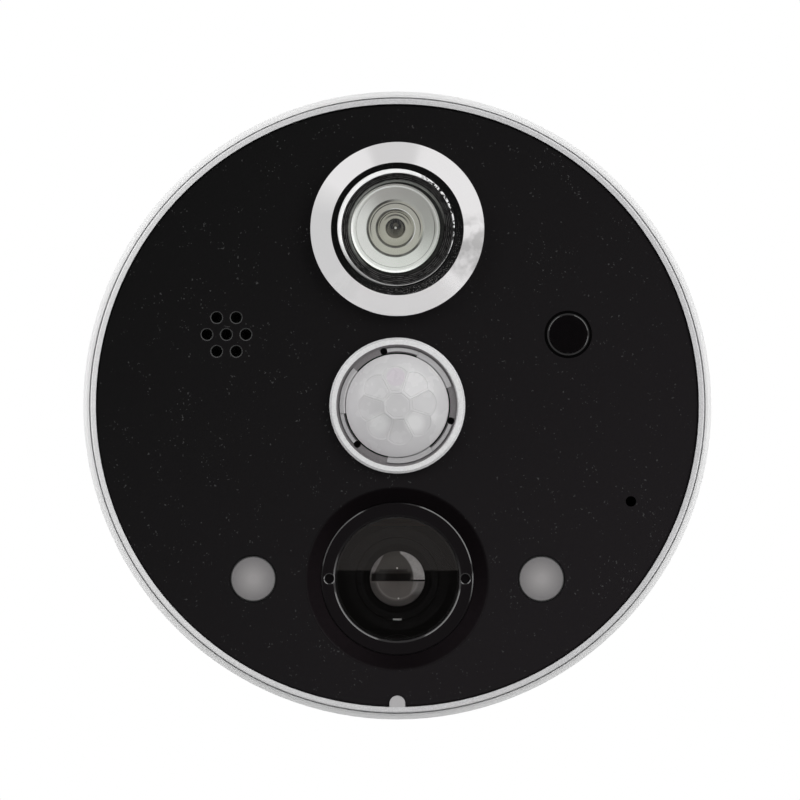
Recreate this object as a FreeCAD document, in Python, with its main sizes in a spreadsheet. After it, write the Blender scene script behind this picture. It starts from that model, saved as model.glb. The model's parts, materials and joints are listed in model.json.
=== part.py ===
"""Outdoor unit of a door-viewer camera: a round two-piece housing round a glass door viewer."""
import FreeCAD, Part
import math
import os
import re
import sys

import Sketcher

# Lengths are millimetres and angles are degrees. Each piece is drawn lying on its back: X runs
# across the door, Y up it and Z out of it. UPRIGHT then stands it up, so the door is the plane
# y = 0, the face looks along -Y and +Z is up. A depth is a distance out from the door.
UPRIGHT = FreeCAD.Rotation(FreeCAD.Vector(1, 0, 0), 90)
OUTWARD = FreeCAD.Vector(0, 0, 1)

# The angles at which features that repeat sit round their own centre.
HOUSING_SCREW_ANGLES = (45, 135, 270)
BOARD_SCREW_ANGLES = (63, 117, 207)
INNER_BOARD_SCREW_ANGLE = 341
HEXAGON_ANGLES = (0, 60, 120, 180, 240, 300)

SIZES = {
    # Rear housing, a shallow cup against the door
    "rim_radius": 33.0,
    "rim_lip": 0.6,
    "rim_depth": 4.8,
    "rim_chamfer": 0.35,
    "foot_chamfer": 0.4,
    "rear_wall": 1.5,
    "lip_overlap": 1.0,
    "tongue_wall": 1.0,
    "tongue_height": 2.5,
    "tongue_gap": 0.1,
    "collar_wall": 1.2,
    "collar_gap": 0.4,
    "screw_pad_radius": 2.9,
    "screw_pad_height": 2.4,
    "cable_slot_width": 6.2,
    "cable_slot_reach": 12.6,
    # Seals
    "seal_thickness": 0.5,
    "seal_gap": 0.05,
    "gasket_thickness": 1.0,
    "gasket_width": 2.0,
    "gasket_edge": 1.4,
    "gasket_gap": 0.05,
    # Front housing and its bezel
    "shadow_gap": 0.25,
    "bezel_width": 0.55,
    "bezel_proud": 0.2,
    "bezel_chamfer": 0.12,
    "skirt_wall": 1.5,
    "deck_thickness": 1.5,
    "boss_radius": 2.3,
    "boss_gap": 0.25,
    "board_boss_radius": 2.0,
    "camera_boss_radius": 1.9,
    "key_width": 1.65,
    "key_reach": 1.21,
    # Face plate
    "face_depth": 14.8,
    "plate_thickness": 1.0,
    "plate_gap": 0.04,
    "plate_chamfer": 0.2,
    "plate_hole_gap": 0.06,
    # Screws, one size throughout
    "screw_radius": 1.0,
    "screw_head_radius": 1.9,
    "screw_head_height": 1.2,
    "screw_head_sink": 0.4,
    "screw_head_gap": 0.2,
    "screw_hole_gap": 0.2,
    "screw_thread_gap": 0.02,
    "screw_tip_room": 0.6,
    "housing_screw_length": 8.0,
    "board_screw_length": 4.0,
    "camera_screw_length": 4.0,
    # Door viewer
    "viewer_spacing": 2.25,
    "barrel_radius": 7.0,
    "barrel_root_radius": 7.2,
    "barrel_root_reach": 0.5,
    "barrel_reach": 30.0,
    "barrel_gap": 0.1,
    "barrel_chamfer": 0.4,
    "thread_radius": 6.0,
    "thread_length": 22.0,
    "throat_radius": 5.2,
    "lens_bore": 6.2,
    "lens_gap": 0.1,
    "flange_radius": 9.13,
    "flange_thickness": 1.6,
    "flange_slope": 0.5,
    "flange_bore": 6.92,
    "flange_recess": 0.9,
    "lens_ring_inset": 0.4,
    "lens_ring_height": 1.65,
    "lens_ring_crest": 6.0,
    "lens_ring_crest_width": 0.2,
    "lens_ring_slope": 1.15,
    "lens_ring_opening": 4.85,
    "objective_edge": 2.4,
    "objective_bevel": 0.3,
    "objective_crown": 0.45,
    "objective_hollow": 2.0,
    "hollow_radius": 5.0,
    "hollow_floor": 2.2,
    "spacer_length": 5.5,
    "second_lens_edge": 2.2,
    "second_lens_hollow": 1.3,
    "rear_lens_edge": 2.05,
    "rear_lens_crown": 1.2,
    "nut_wall": 1.4,
    "nut_thickness": 1.5,
    "nut_slot_width": 1.2,
    "nut_slot_depth": 0.8,
    # Motion detector
    "detector_collar_radius": 7.12,
    "detector_collar_rise": 0.8,
    "detector_collar_chamfer": 0.25,
    "detector_crest_width": 0.45,
    "detector_mouth": 6.13,
    "detector_ledge_rise": 0.1,
    "detector_bore": 5.55,
    "detector_sleeve_radius": 6.6,
    "detector_sleeve_length": 1.7,
    "stop_height": 0.3,
    "stop_angle": 32.0,
    "tab_angle": 81.0,
    "notch_width": 0.68,
    "notch_depth": 1.1,
    "notch_angle": 104.0,
    "dome_radius": 5.4,
    "dome_rise": 2.6,
    "dome_wall": 0.6,
    "dome_shoulder_drop": 0.96,
    "dome_skirt": 1.1,
    "tab_thickness": 0.4,
    "tab_gap": 0.08,
    "middle_facet_radius": 1.45,
    "facet_radius": 1.59,
    "facet_reach": 2.82,
    "facet_angle": 5.0,
    "sensor_can_radius": 4.1,
    "sensor_can_height": 3.7,
    "sensor_flange_radius": 4.6,
    "sensor_flange_thickness": 0.5,
    "sensor_spacer_height": 1.2,
    "sensor_spacer_wall": 1.2,
    "sensor_pin_width": 0.45,
    "sensor_pin_circle": 2.54,
    "filter_width": 4.6,
    "filter_height": 3.4,
    "filter_thickness": 0.4,
    # Camera
    "camera_spacing": 1.43,
    "dish_radius": 9.6,
    "camera_hole": 8.03,
    "camera_ring_rise": 0.1,
    "camera_ring_gap": 0.06,
    "camera_ring_lip": 0.6,
    "camera_ring_wall": 0.55,
    "camera_ring_opening": 6.57,
    "camera_ring_bevel": 0.2,
    "camera_ring_foot": 0.3,
    "spanner_hole_radius": 0.5,
    "spanner_hole_reach": 7.12,
    "spanner_hole_depth": 0.5,
    "camera_window_gap": 0.08,
    "camera_window_thickness": 1.2,
    "camera_seal_thickness": 0.6,
    "camera_seal_width": 0.9,
    "shoulder_thickness": 0.8,
    "shoulder_opening": 6.3,
    "camera_sleeve_radius": 9.4,
    "camera_lens_gap": 0.5,
    "camera_head_radius": 4.4,
    "camera_head_length": 2.2,
    "camera_head_chamfer": 0.15,
    "camera_head_mouth": 3.6,
    "camera_tail_radius": 3.9,
    "camera_tail_length": 3.8,
    "camera_glass_radius": 2.87,
    "camera_front_lens_edge": 0.9,
    "camera_front_lens_crown": 0.95,
    "camera_mouth_depth": 0.6,
    "camera_rear_lens_thickness": 1.2,
    "camera_fit_gap": 0.05,
    "camera_holder_radius": 5.4,
    "camera_focus_gap": 0.4,
    "camera_base_gap": 1.1,
    "camera_base_height": 11.0,
    "camera_base_thickness": 1.3,
    "camera_board_depth": 2.9,
    "camera_board_thickness": 0.8,
    "camera_board_width": 24.0,
    "camera_board_height": 11.0,
    "camera_screw_edge": 2.0,
    "image_sensor_width": 7.0,
    "image_sensor_height": 6.4,
    "image_sensor_thickness": 0.9,
    "image_sensor_gap": 0.4,
    "flex_width": 6.0,
    "flex_thickness": 0.15,
    "flex_lap": 2.4,
    "flex_lead": 0.4,
    # Infrared lamps
    "lamp_boss_gap": 0.1,
    "lamp_window_radius": 2.43,
    "lamp_window_gap": 0.05,
    "lamp_window_inset": 0.1,
    "lamp_window_chamfer": 0.15,
    "lamp_flange_radius": 3.1,
    "lamp_flange_thickness": 0.7,
    "lamp_gap": 0.4,
    "lamp_radius": 1.5,
    "lamp_height": 4.0,
    "lamp_tip": 0.8,
    "lamp_base_radius": 1.9,
    "lamp_base_thickness": 1.0,
    "lamp_pin_width": 0.5,
    "lamp_pin_spacing": 2.54,
    # Speaker
    "speaker_reach": 17.9,
    "upper_row": 7.45,
    "sound_hole_radius": 0.575,
    "sound_hole_pitch": 2.04,
    "sound_hole_sink": 0.11,
    "speaker_opening": 3.6,
    "mesh_radius": 7.9,
    "mesh_thickness": 0.25,
    "speaker_radius": 8.0,
    "speaker_height": 3.4,
    "speaker_fit_gap": 0.1,
    "speaker_socket_wall": 0.9,
    "speaker_socket_height": 2.8,
    "speaker_gasket_thickness": 0.3,
    "speaker_gasket_width": 1.4,
    "speaker_rim_width": 0.8,
    "speaker_floor": 0.6,
    "magnet_radius": 5.4,
    "magnet_height": 1.7,
    "magnet_gap_outer": 3.9,
    "magnet_pole_radius": 3.0,
    "magnet_floor": 0.7,
    "magnet_pole_rise": 0.8,
    "coil_radius": 3.6,
    "coil_wall": 0.35,
    "coil_height": 2.7,
    "coil_lift": 0.5,
    "cone_thickness": 0.2,
    "cone_dish": 0.35,
    "contact_width": 0.9,
    "contact_spacing": 3.2,
    "contact_drop": 6.5,
    # Microphone
    "mic_skirt_gap": 1.5,
    "mic_drop": 10.04,
    "mic_hole_radius": 0.55,
    "mic_boot_radius": 2.7,
    "mic_boot_length": 3.1,
    "mic_boot_front": 0.8,
    "mic_radius": 2.0,
    "mic_height": 1.7,
    "mic_fit_gap": 0.02,
    "mic_pin_width": 0.4,
    "mic_pin_spacing": 1.27,
    # Call button and its switch
    "button_reach": 17.9,
    "button_radius": 2.2,
    "button_opening": 2.5,
    "button_proud": 0.3,
    "button_chamfer": 0.25,
    "button_collar_radius": 3.0,
    "button_collar_height": 2.3,
    "button_slide_gap": 0.1,
    "button_rest_gap": 0.05,
    "button_stem_radius": 1.2,
    "button_guide_wall": 1.0,
    "button_guide_height": 2.5,
    "button_guide_floor": 0.6,
    "button_travel": 0.5,
    "switch_width": 6.2,
    "switch_height": 3.4,
    "switch_floor": 0.5,
    "switch_mouth": 1.8,
    "plunger_gap": 0.08,
    "plunger_length": 2.85,
    "snap_dome_radius": 1.6,
    "snap_dome_crown": 0.8,
    "snap_dome_thickness": 0.12,
    # Boards
    "board_depth": 4.6,
    "board_thickness": 1.0,
    "board_gap": 0.55,
    "board_barrel_gap": 0.8,
    "board_boss_gap": 0.3,
    "board_slot_gap": 0.5,
    "board_slot_lead": 1.0,
    "board_screw_edge": 3.7,
    "board_screw_inset": 8.9,
    "connector_across": 10.0,
    "connector_up": 9.0,
    "connector_width": 8.0,
    "connector_height": 4.4,
    "connector_depth": 2.4,
    "connector_wall": 0.6,
    "processor_width": 7.0,
    "processor_across": 10.2,
    "processor_drop": 5.2,
    "memory_width": 5.0,
    "memory_height": 6.0,
    "memory_across": 9.6,
    "memory_drop": 6.0,
    "chip_thickness": 1.0,
}

WORKED = {
    # Radii of the rim, from the outside in
    "lip_inner": "rim_radius - rim_lip",
    "bezel_radius": "lip_inner - shadow_gap",
    "plate_opening": "bezel_radius - bezel_width",
    "plate_radius": "plate_opening - plate_gap",
    "skirt_inner": "bezel_radius - skirt_wall",
    "tongue_outer": "skirt_inner - tongue_gap",
    "tongue_inner": "tongue_outer - tongue_wall",
    "board_radius": "tongue_inner - board_gap",
    "gasket_outer": "rim_radius - gasket_edge",
    "gasket_inner": "gasket_outer - gasket_width",
    "screw_circle": "tongue_inner - boss_gap - boss_radius",
    # Depths, from the door out
    "seat_depth": "rim_depth - lip_overlap",
    "skirt_end": "seat_depth + seal_thickness",
    "tongue_front": "seat_depth + tongue_height",
    "screw_pad_front": "rear_wall + screw_pad_height",
    "counterbore_depth": "screw_head_height + screw_head_sink",
    "board_front": "board_depth + board_thickness",
    "board_slot_width": "camera_board_width + board_slot_gap * 2",
    "board_slot_top": "camera_drop - camera_board_height / 2 - board_slot_lead",
    "collar_front": "board_depth - collar_gap",
    "deck_front": "face_depth - plate_thickness",
    "deck_back": "deck_front - deck_thickness",
    "bezel_front": "face_depth + bezel_proud",
    # Door viewer
    "viewer_rise": "detector_collar_radius + viewer_spacing + flange_radius",
    "collar_radius": "barrel_hole + collar_wall",
    "barrel_hole": "barrel_root_radius + barrel_gap",
    "flange_front": "face_depth + flange_thickness",
    "lens_radius": "lens_bore - lens_gap",
    "lens_ring_seat": "face_depth - lens_ring_inset",
    "lens_ring_front": "lens_ring_seat + lens_ring_height",
    "objective_back": "lens_ring_seat - objective_edge",
    "second_lens_front": "objective_back - spacer_length",
    "second_lens_back": "second_lens_front - second_lens_edge",
    "lens_shoulder": "second_lens_back - rear_lens_edge",
    "nut_radius": "barrel_root_radius + nut_wall",
    "nut_back": "deck_back - nut_thickness",
    # Motion detector
    "detector_collar_front": "face_depth + detector_collar_rise",
    "detector_ledge": "face_depth + detector_ledge_rise",
    "detector_sleeve_back": "deck_back - detector_sleeve_length",
    "detector_crest": "detector_collar_radius - detector_collar_chamfer - detector_crest_width",
    "dome_base": "detector_ledge + tab_thickness",
    "dome_top": "dome_base + dome_rise",
    "dome_skirt_back": "dome_base - dome_skirt",
    "dome_sphere": "(dome_radius ^ 2 + dome_rise ^ 2) / (2 * dome_rise)",
    "dome_centre": "dome_top - dome_sphere",
    "dome_hollow": "dome_radius - dome_wall",
    "facet_depth": "sqrt(dome_sphere ^ 2 - facet_radius ^ 2)",
    "middle_facet": "dome_centre + sqrt(dome_sphere ^ 2 - middle_facet_radius ^ 2)",
    "facet_sine": "facet_reach / dome_sphere",
    "facet_cosine": "sqrt(1 - facet_sine ^ 2)",
    "tab_radius": "detector_mouth - tab_gap",
    "tab_middle": "notch_angle - notch_span / 2 - tab_angle / 2",
    "stop_middle": "notch_angle + notch_span / 2 + stop_angle / 2",
    "notch_span": "120 - tab_angle - stop_angle",
    "sensor_seat": "board_front + sensor_spacer_height",
    "sensor_can_front": "sensor_seat + sensor_flange_thickness + sensor_can_height",
    # Camera
    "camera_drop": "detector_collar_radius + camera_spacing + dish_radius",
    "camera_ring_radius": "camera_hole - camera_ring_gap",
    "camera_ring_front": "deck_front + camera_ring_rise",
    "camera_window_front": "camera_ring_front - camera_ring_lip",
    "camera_window_back": "camera_window_front - camera_window_thickness",
    "camera_shoulder": "camera_window_back - camera_seal_thickness",
    "camera_shoulder_back": "camera_shoulder - shoulder_thickness",
    "camera_ring_inner": "camera_ring_radius - camera_ring_wall",
    "camera_window_radius": "camera_ring_inner - camera_window_gap",
    "camera_lens_front": "camera_window_back - camera_lens_gap",
    "camera_head_back": "camera_lens_front - camera_head_length",
    "camera_tail_back": "camera_head_back - camera_tail_length",
    "camera_lens_bore": "camera_glass_radius + camera_fit_gap",
    "camera_front_seat": "camera_lens_front - camera_mouth_depth - camera_front_lens_edge",
    "camera_screw_reach": "camera_board_width / 2 - camera_screw_edge",
    "camera_base_width": "(camera_screw_reach - camera_boss_radius - camera_base_gap) * 2",
    "camera_board_front": "camera_board_depth + camera_board_thickness",
    "camera_base_front": "camera_board_front + camera_base_thickness",
    "camera_holder_front": "camera_head_back - camera_focus_gap",
    "camera_board_top": "camera_board_height / 2 - camera_drop",
    # Infrared lamps
    "lamp_reach": "camera_screw_reach + camera_boss_radius + lamp_boss_gap + lamp_flange_radius",
    "lamp_hole": "lamp_window_radius + lamp_window_gap",
    "lamp_window_front": "face_depth - lamp_window_inset",
    "lamp_window_back": "deck_back - lamp_flange_thickness",
    "lamp_top": "lamp_window_back - lamp_gap",
    "lamp_base": "lamp_top - lamp_height",
    # Speaker
    "mesh_back": "deck_back - mesh_thickness",
    "speaker_front": "mesh_back - speaker_gasket_thickness",
    "speaker_back": "speaker_front - speaker_height",
    "speaker_socket": "speaker_radius + speaker_fit_gap",
    "magnet_back": "speaker_back - magnet_height",
    "cone_edge": "speaker_radius - speaker_rim_width",
    "coil_back": "magnet_back + magnet_floor + coil_lift",
    "coil_front": "coil_back + coil_height",
    "cone_front": "coil_front + cone_dish",
    # Microphone
    "mic_across": "sqrt((skirt_inner - mic_boot_radius - mic_skirt_gap) ^ 2 - mic_drop ^ 2)",
    "mic_boot_back": "deck_back - mic_boot_length",
    "mic_front": "deck_back - mic_boot_front",
    "mic_back": "mic_front - mic_height",
    # Call button
    "button_front": "face_depth + button_proud",
    "button_collar_front": "deck_front - button_rest_gap",
    "button_collar_back": "button_collar_front - button_collar_height",
    "button_bore": "button_collar_radius + button_slide_gap",
    "button_guide_back": "deck_back - button_guide_height",
    "switch_front": "board_front + switch_height",
    "snap_dome_seat": "board_front + switch_floor",
    "plunger_back": "button_stem_end - plunger_length",
    "button_stem_end": "switch_front + button_travel + button_rest_gap * 2",
    "plunger_radius": "switch_mouth - plunger_gap",
}

doc = FreeCAD.newDocument("door_viewer_camera")
sheet = doc.addObject("Spreadsheet::Sheet", "Sizes")
for row, (size_name, size_value) in enumerate(SIZES.items(), start=1):
    sheet.set(f"A{row}", size_name)
    sheet.set(f"B{row}", str(size_value))
    sheet.setAlias(f"B{row}", size_name)
doc.recompute()
pieces = []
cuts = []


def spelled_out(expression):
    """Puts what each worked-out name stands for in its place, down to the sheet's own sizes."""
    def meaning(word):
        found = WORKED.get(word.group())
        return f"({spelled_out(found)})" if found else word.group()
    return re.sub(r"[a-z_]+", meaning, expression)


def number(expression):
    """The value of an expression, for a drawing's first lines."""
    return float(sheet.evalExpression(spelled_out(expression)))


def tie(thing, setting, expression):
    """Binds a setting of a feature or sketch to sizes in the sheet."""
    if expression == "0":
        return
    in_sheet = re.sub(
        r"[a-z_]+",
        lambda word: f"Sizes.{word.group()}" if word.group() in SIZES else word.group(),
        spelled_out(expression),
    )
    thing.setExpression(setting, in_sheet)


def point(across, up):
    return FreeCAD.Vector(number(across), number(up), 0)


def arc_between(start, end, radius):
    """An arc that bulges to the right of the way from start to end, or left if radius is negative."""
    chord = end - start
    across = FreeCAD.Vector(-chord.y, chord.x, 0).normalize()
    half = chord.Length / 2
    to_centre = math.sqrt(max(radius ** 2 - half ** 2, 0))
    side = math.copysign(1, radius)
    centre = (start + end) / 2 + across * to_centre * side
    middle = centre - across * radius
    return Part.Arc(start, middle, end)


class Drawing:
    """A sketch on one of its body's own planes, with every size tied to the sheet."""

    def __init__(self, body, name, lift="0", plane="XY_Plane"):
        self.sketch = body.newObject("Sketcher::SketchObject", f"{body.Label}_{name}_drawing")
        support = next(item for item in body.Origin.OriginFeatures if item.Role == plane)
        self.sketch.AttachmentSupport = [(support, "")]
        self.sketch.MapMode = "FlatFace"
        tie(self.sketch, "AttachmentOffset.Base.z", lift)

    def hold(self, kind, *places, size):
        """Adds a dimension between places of the sketch and ties it to a size."""
        index = self.sketch.addConstraint(Sketcher.Constraint(kind, *places, number(size)))
        tie(self.sketch, f"Constraints[{index}]", size)

    def hold_point(self, edge, end, across, up):
        self.hold("DistanceX", -1, 1, edge, end, size=across)
        self.hold("DistanceY", -1, 1, edge, end, size=up)

    def circle(self, radius, across, up):
        round_edge = Part.Circle(point(across, up), OUTWARD, number(radius))
        edge = self.sketch.addGeometry(round_edge, False)
        self.hold("Radius", edge, size=radius)
        self.hold_point(edge, 3, across, up)

    def outline(self, *corners):
        """A closed line through corners. A third value is the radius of the arc that arrives there.

        A half circle stands on a level line, and is held by its centre's height.
        """
        ends = []
        for index, corner in enumerate(corners):
            start = point(*corners[index - 1][:2])
            finish = point(*corner[:2])
            if len(corner) == 3:
                radius = number(corner[2])
                edge = self.sketch.addGeometry(arc_between(start, finish, radius), False)
                if abs((finish - start).Length - 2 * abs(radius)) < 1e-6:
                    self.hold("DistanceY", -1, 1, edge, 3, size=corner[1])
                else:
                    self.hold("Radius", edge, size=corner[2].lstrip("-"))
            else:
                edge = self.sketch.addGeometry(Part.LineSegment(start, finish), False)
            forwards = (self.sketch.getPoint(edge, 1) - start).Length < 1e-6
            ends.append((edge, 1, 2) if forwards else (edge, 2, 1))
        for index, (edge, tail, head) in enumerate(ends):
            previous_edge, _, previous_head = ends[index - 1]
            self.sketch.addConstraint(
                Sketcher.Constraint("Coincident", previous_edge, previous_head, edge, tail)
            )
            self.hold_point(edge, head, *corners[index][:2])


def disc(radius, across="0", up="0"):
    return lambda drawing: drawing.circle(radius, across, up)


def ring(outer, inner, across="0", up="0"):
    def draw(drawing):
        drawing.circle(outer, across, up)
        drawing.circle(inner, across, up)
    return draw


def outline(*corners):
    return lambda drawing: drawing.outline(*corners)


def block(width, height, across="0", up="0"):
    left = f"{across} - ({width}) / 2"
    right = f"{across} + ({width}) / 2"
    low = f"{up} - ({height}) / 2"
    high = f"{up} + ({height}) / 2"
    return outline((left, low), (right, low), (right, high), (left, high))


def sector(outer, inner, middle, angle):
    """A piece of a ring, its middle at an angle round the centre."""
    first = f"({middle}) - ({angle}) / 2"
    last = f"({middle}) + ({angle}) / 2"
    return outline(
        (f"({inner}) * cos({last})", f"({inner}) * sin({last})"),
        (f"({inner}) * cos({first})", f"({inner}) * sin({first})", f"-({inner})"),
        (f"({outer}) * cos({first})", f"({outer}) * sin({first})"),
        (f"({outer}) * cos({last})", f"({outer}) * sin({last})", outer),
    )


def polar(radius, angle, across="0", up="0"):
    """Where a point at an angle round a centre lies."""
    return f"{across} + ({radius}) * cos({angle})", f"{up} + ({radius}) * sin({angle})"


def piece(label, across="0", up="0"):
    """An empty body, stood up, with its own centre at a place on the face."""
    body = doc.addObject("PartDesign::Body", label)
    body.Label = label
    body.Placement = FreeCAD.Placement(FreeCAD.Vector(), UPRIGHT)
    tie(body, "Placement.Base.x", across)
    tie(body, "Placement.Base.z", up)
    pieces.append(body)
    return body


def pad(body, name, start, end, *shapes):
    """Adds shapes to a body, from one depth out to another."""
    drawing = Drawing(body, name, lift=start)
    for draw in shapes:
        draw(drawing)
    added = body.newObject("PartDesign::Pad", f"{body.Label}_{name}")
    added.Profile = drawing.sketch
    tie(added, "Length", f"({end}) - ({start})")
    return added


def cut(body, name, start, end, *shapes):
    """Cuts shapes out of a body, from one depth out to another."""
    drawing = Drawing(body, name, lift=end)
    for draw in shapes:
        draw(drawing)
    pocket = body.newObject("PartDesign::Pocket", f"{body.Label}_{name}")
    pocket.Profile = drawing.sketch
    tie(pocket, "Length", f"({end}) - ({start})")
    cuts.append(pocket)
    return pocket


def turn(body, name, *corners):
    """Turns a profile of (radius, depth) corners about the body's centre line."""
    drawing = Drawing(body, name, plane="XZ_Plane")
    drawing.outline(*corners)
    turned = body.newObject("PartDesign::Revolution", f"{body.Label}_{name}")
    turned.Profile = drawing.sketch
    turned.ReferenceAxis = (drawing.sketch, ["V_Axis"])
    return turned


def repeat(body, feature, count):
    """Repeats a feature evenly round the body's centre line."""
    pattern = body.newObject("PartDesign::PolarPattern", f"{feature.Name}_pattern")
    pattern.Originals = [feature]
    pattern.Axis = (feature.Profile[0], ["N_Axis"])
    pattern.Angle = 360
    pattern.Occurrences = count
    body.Tip = pattern
    return pattern


def chamfer(body, radius, depth, size):
    """Chamfers the body's circular edges of that radius at that depth."""
    doc.recompute()
    base = body.Tip
    names = [
        f"Edge{index}"
        for index, edge in enumerate(base.Shape.Edges, start=1)
        if isinstance(edge.Curve, Part.Circle)
        and abs(edge.Curve.Radius - number(radius)) < 1e-6
        and abs(edge.Curve.Center.z - number(depth)) < 1e-6
    ]
    cone = body.newObject("PartDesign::Chamfer", f"{body.Label}_chamfer")
    cone.Base = (base, names)
    tie(cone, "Size", size)


HOUSING_SCREWS = [polar("screw_circle", str(angle)) for angle in HOUSING_SCREW_ANGLES]
BOARD_SCREWS = [
    polar("board_radius - board_screw_edge", str(angle)) for angle in BOARD_SCREW_ANGLES
] + [polar("board_radius - board_screw_inset", str(INNER_BOARD_SCREW_ANGLE))]
CAMERA_SCREWS = [("-camera_screw_reach", "-camera_drop"), ("camera_screw_reach", "-camera_drop")]
LAMPS = {"left": "-lamp_reach", "right": "lamp_reach"}
SOUND_HOLES = [("-speaker_reach", "upper_row")] + [
    polar("sound_hole_pitch", str(angle), "-speaker_reach", "upper_row") for angle in HEXAGON_ANGLES
]
SENSOR_PINS = [polar("sensor_pin_circle", str(angle)) for angle in (45, 135, 225)]


def discs(radius, places):
    return [disc(radius, across, up) for across, up in places]


def key(gap):
    """The tongue of the bezel that reaches up into the face plate and stops it turning."""
    half = f"key_width / 2 + {gap}"
    shoulder = "key_width / 2 - plate_opening + key_reach - key_width"
    foot = "-plate_opening - bezel_width / 2"
    return outline(
        (f"-({half})", foot),
        (half, foot),
        (half, shoulder),
        (f"-({half})", shoulder, half),
    )


def rear_housing():
    body = piece("rear_housing")
    turn(
        body, "cup",
        ("0", "0"),
        ("rim_radius - foot_chamfer", "0"),
        ("rim_radius", "foot_chamfer"),
        ("rim_radius", "rim_depth - rim_chamfer"),
        ("rim_radius - rim_chamfer", "rim_depth"),
        ("lip_inner", "rim_depth"),
        ("lip_inner", "seat_depth"),
        ("tongue_outer", "seat_depth"),
        ("tongue_outer", "tongue_front"),
        ("tongue_inner", "tongue_front"),
        ("tongue_inner", "rear_wall"),
        ("0", "rear_wall"),
    )
    pad(body, "collar", "rear_wall", "collar_front", disc("collar_radius", up="viewer_rise"))
    pad(
        body, "screw_pads", "rear_wall", "screw_pad_front",
        *discs("screw_pad_radius", HOUSING_SCREWS),
    )
    cut(body, "gasket_groove", "0", "gasket_thickness", ring("gasket_outer", "gasket_inner"))
    cut(
        body, "counterbores", "0", "counterbore_depth",
        *discs("screw_head_radius + screw_head_gap", HOUSING_SCREWS),
    )
    cut(
        body, "screw_holes", "0", "screw_pad_front",
        *discs("screw_radius + screw_hole_gap", HOUSING_SCREWS),
    )
    cut(body, "barrel_hole", "0", "collar_front", disc("barrel_hole", up="viewer_rise"))
    slot_half = "cable_slot_width / 2"
    slot_end = "viewer_rise - cable_slot_reach + cable_slot_width / 2"
    cut(
        body, "cable_slot", "0", "collar_front",
        outline(
            (slot_half, "viewer_rise"),
            (f"-{slot_half}", "viewer_rise"),
            (f"-{slot_half}", slot_end),
            (slot_half, slot_end, slot_half),
        ),
    )


def front_housing():
    body = piece("front_housing")
    turn(
        body, "shell",
        ("detector_bore", "detector_sleeve_back"),
        ("detector_sleeve_radius", "detector_sleeve_back"),
        ("detector_sleeve_radius", "deck_back"),
        ("skirt_inner", "deck_back"),
        ("skirt_inner", "skirt_end"),
        ("bezel_radius", "skirt_end"),
        ("bezel_radius", "bezel_front - bezel_chamfer"),
        ("bezel_radius - bezel_chamfer", "bezel_front"),
        ("plate_opening", "bezel_front"),
        ("plate_opening", "deck_front"),
        ("detector_collar_radius", "deck_front"),
        ("detector_collar_radius", "detector_collar_front - detector_collar_chamfer"),
        ("detector_collar_radius - detector_collar_chamfer", "detector_collar_front"),
        ("detector_crest", "detector_collar_front"),
        ("detector_mouth", "detector_ledge + stop_height"),
        ("detector_mouth", "detector_ledge"),
        ("detector_bore", "detector_ledge"),
    )
    pad(body, "key", "deck_front", "bezel_front", key("0"))
    pad(
        body, "housing_bosses", "screw_pad_front", "deck_back",
        *discs("boss_radius", HOUSING_SCREWS),
    )
    pad(body, "board_bosses", "board_front", "deck_back", *discs("board_boss_radius", BOARD_SCREWS))
    pad(
        body, "camera_bosses", "camera_board_front", "deck_back",
        *discs("camera_boss_radius", CAMERA_SCREWS),
    )
    pad(
        body, "camera_sleeve", "camera_shoulder_back", "deck_back",
        disc("camera_sleeve_radius", up="-camera_drop"),
    )
    pad(
        body, "speaker_socket", "deck_back - speaker_socket_height", "deck_back",
        ring("speaker_socket + speaker_socket_wall", "speaker_socket", "-speaker_reach", "upper_row"),
    )
    pad(
        body, "button_guide", "button_guide_back", "deck_back",
        disc("button_bore + button_guide_wall", "button_reach", "upper_row"),
    )
    stop = pad(
        body, "stop", "detector_ledge", "detector_ledge + stop_height",
        sector("detector_mouth", "detector_bore", "stop_middle", "stop_angle"),
    )
    repeat(body, stop, 3)
    notch_reach = "(detector_mouth + detector_bore) / 2"
    notch_across, notch_up = polar(notch_reach, "notch_angle")
    notch = cut(
        body, "notch", "detector_ledge - notch_depth", "detector_ledge + stop_height",
        disc("notch_width / 2", notch_across, notch_up),
    )
    repeat(body, notch, 3)
    cut(body, "barrel_hole", "deck_back", "deck_front", disc("barrel_hole", up="viewer_rise"))
    cut(
        body, "camera_bore", "camera_shoulder", "deck_front",
        disc("camera_hole", up="-camera_drop"),
    )
    cut(
        body, "camera_opening", "camera_shoulder_back", "camera_shoulder",
        disc("shoulder_opening", up="-camera_drop"),
    )
    cut(
        body, "lamp_holes", "deck_back", "deck_front",
        *[disc("lamp_hole", lamp, "-camera_drop") for lamp in LAMPS.values()],
    )
    cut(
        body, "speaker_opening", "deck_back", "deck_front",
        disc("speaker_opening", "-speaker_reach", "upper_row"),
    )
    cut(
        body, "button_bore", "button_guide_back + button_guide_floor", "deck_front",
        disc("button_bore", "button_reach", "upper_row"),
    )
    cut(
        body, "stem_hole", "button_guide_back", "button_guide_back + button_guide_floor",
        disc("button_stem_radius + button_slide_gap", "button_reach", "upper_row"),
    )
    cut(
        body, "mic_hole", "deck_back", "deck_front",
        disc("mic_hole_radius", "mic_across", "-mic_drop"),
    )
    for name, places, start, length in (
        ("housing", HOUSING_SCREWS, "screw_pad_front", "counterbore_depth + housing_screw_length"),
        ("board", BOARD_SCREWS, "board_front", "board_depth + board_screw_length"),
        ("camera", CAMERA_SCREWS, "camera_board_front", "camera_board_depth + camera_screw_length"),
    ):
        cut(
            body, f"{name}_screw_holes", start, f"{length} + screw_tip_room",
            *discs("screw_radius + screw_thread_gap", places),
        )


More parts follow.
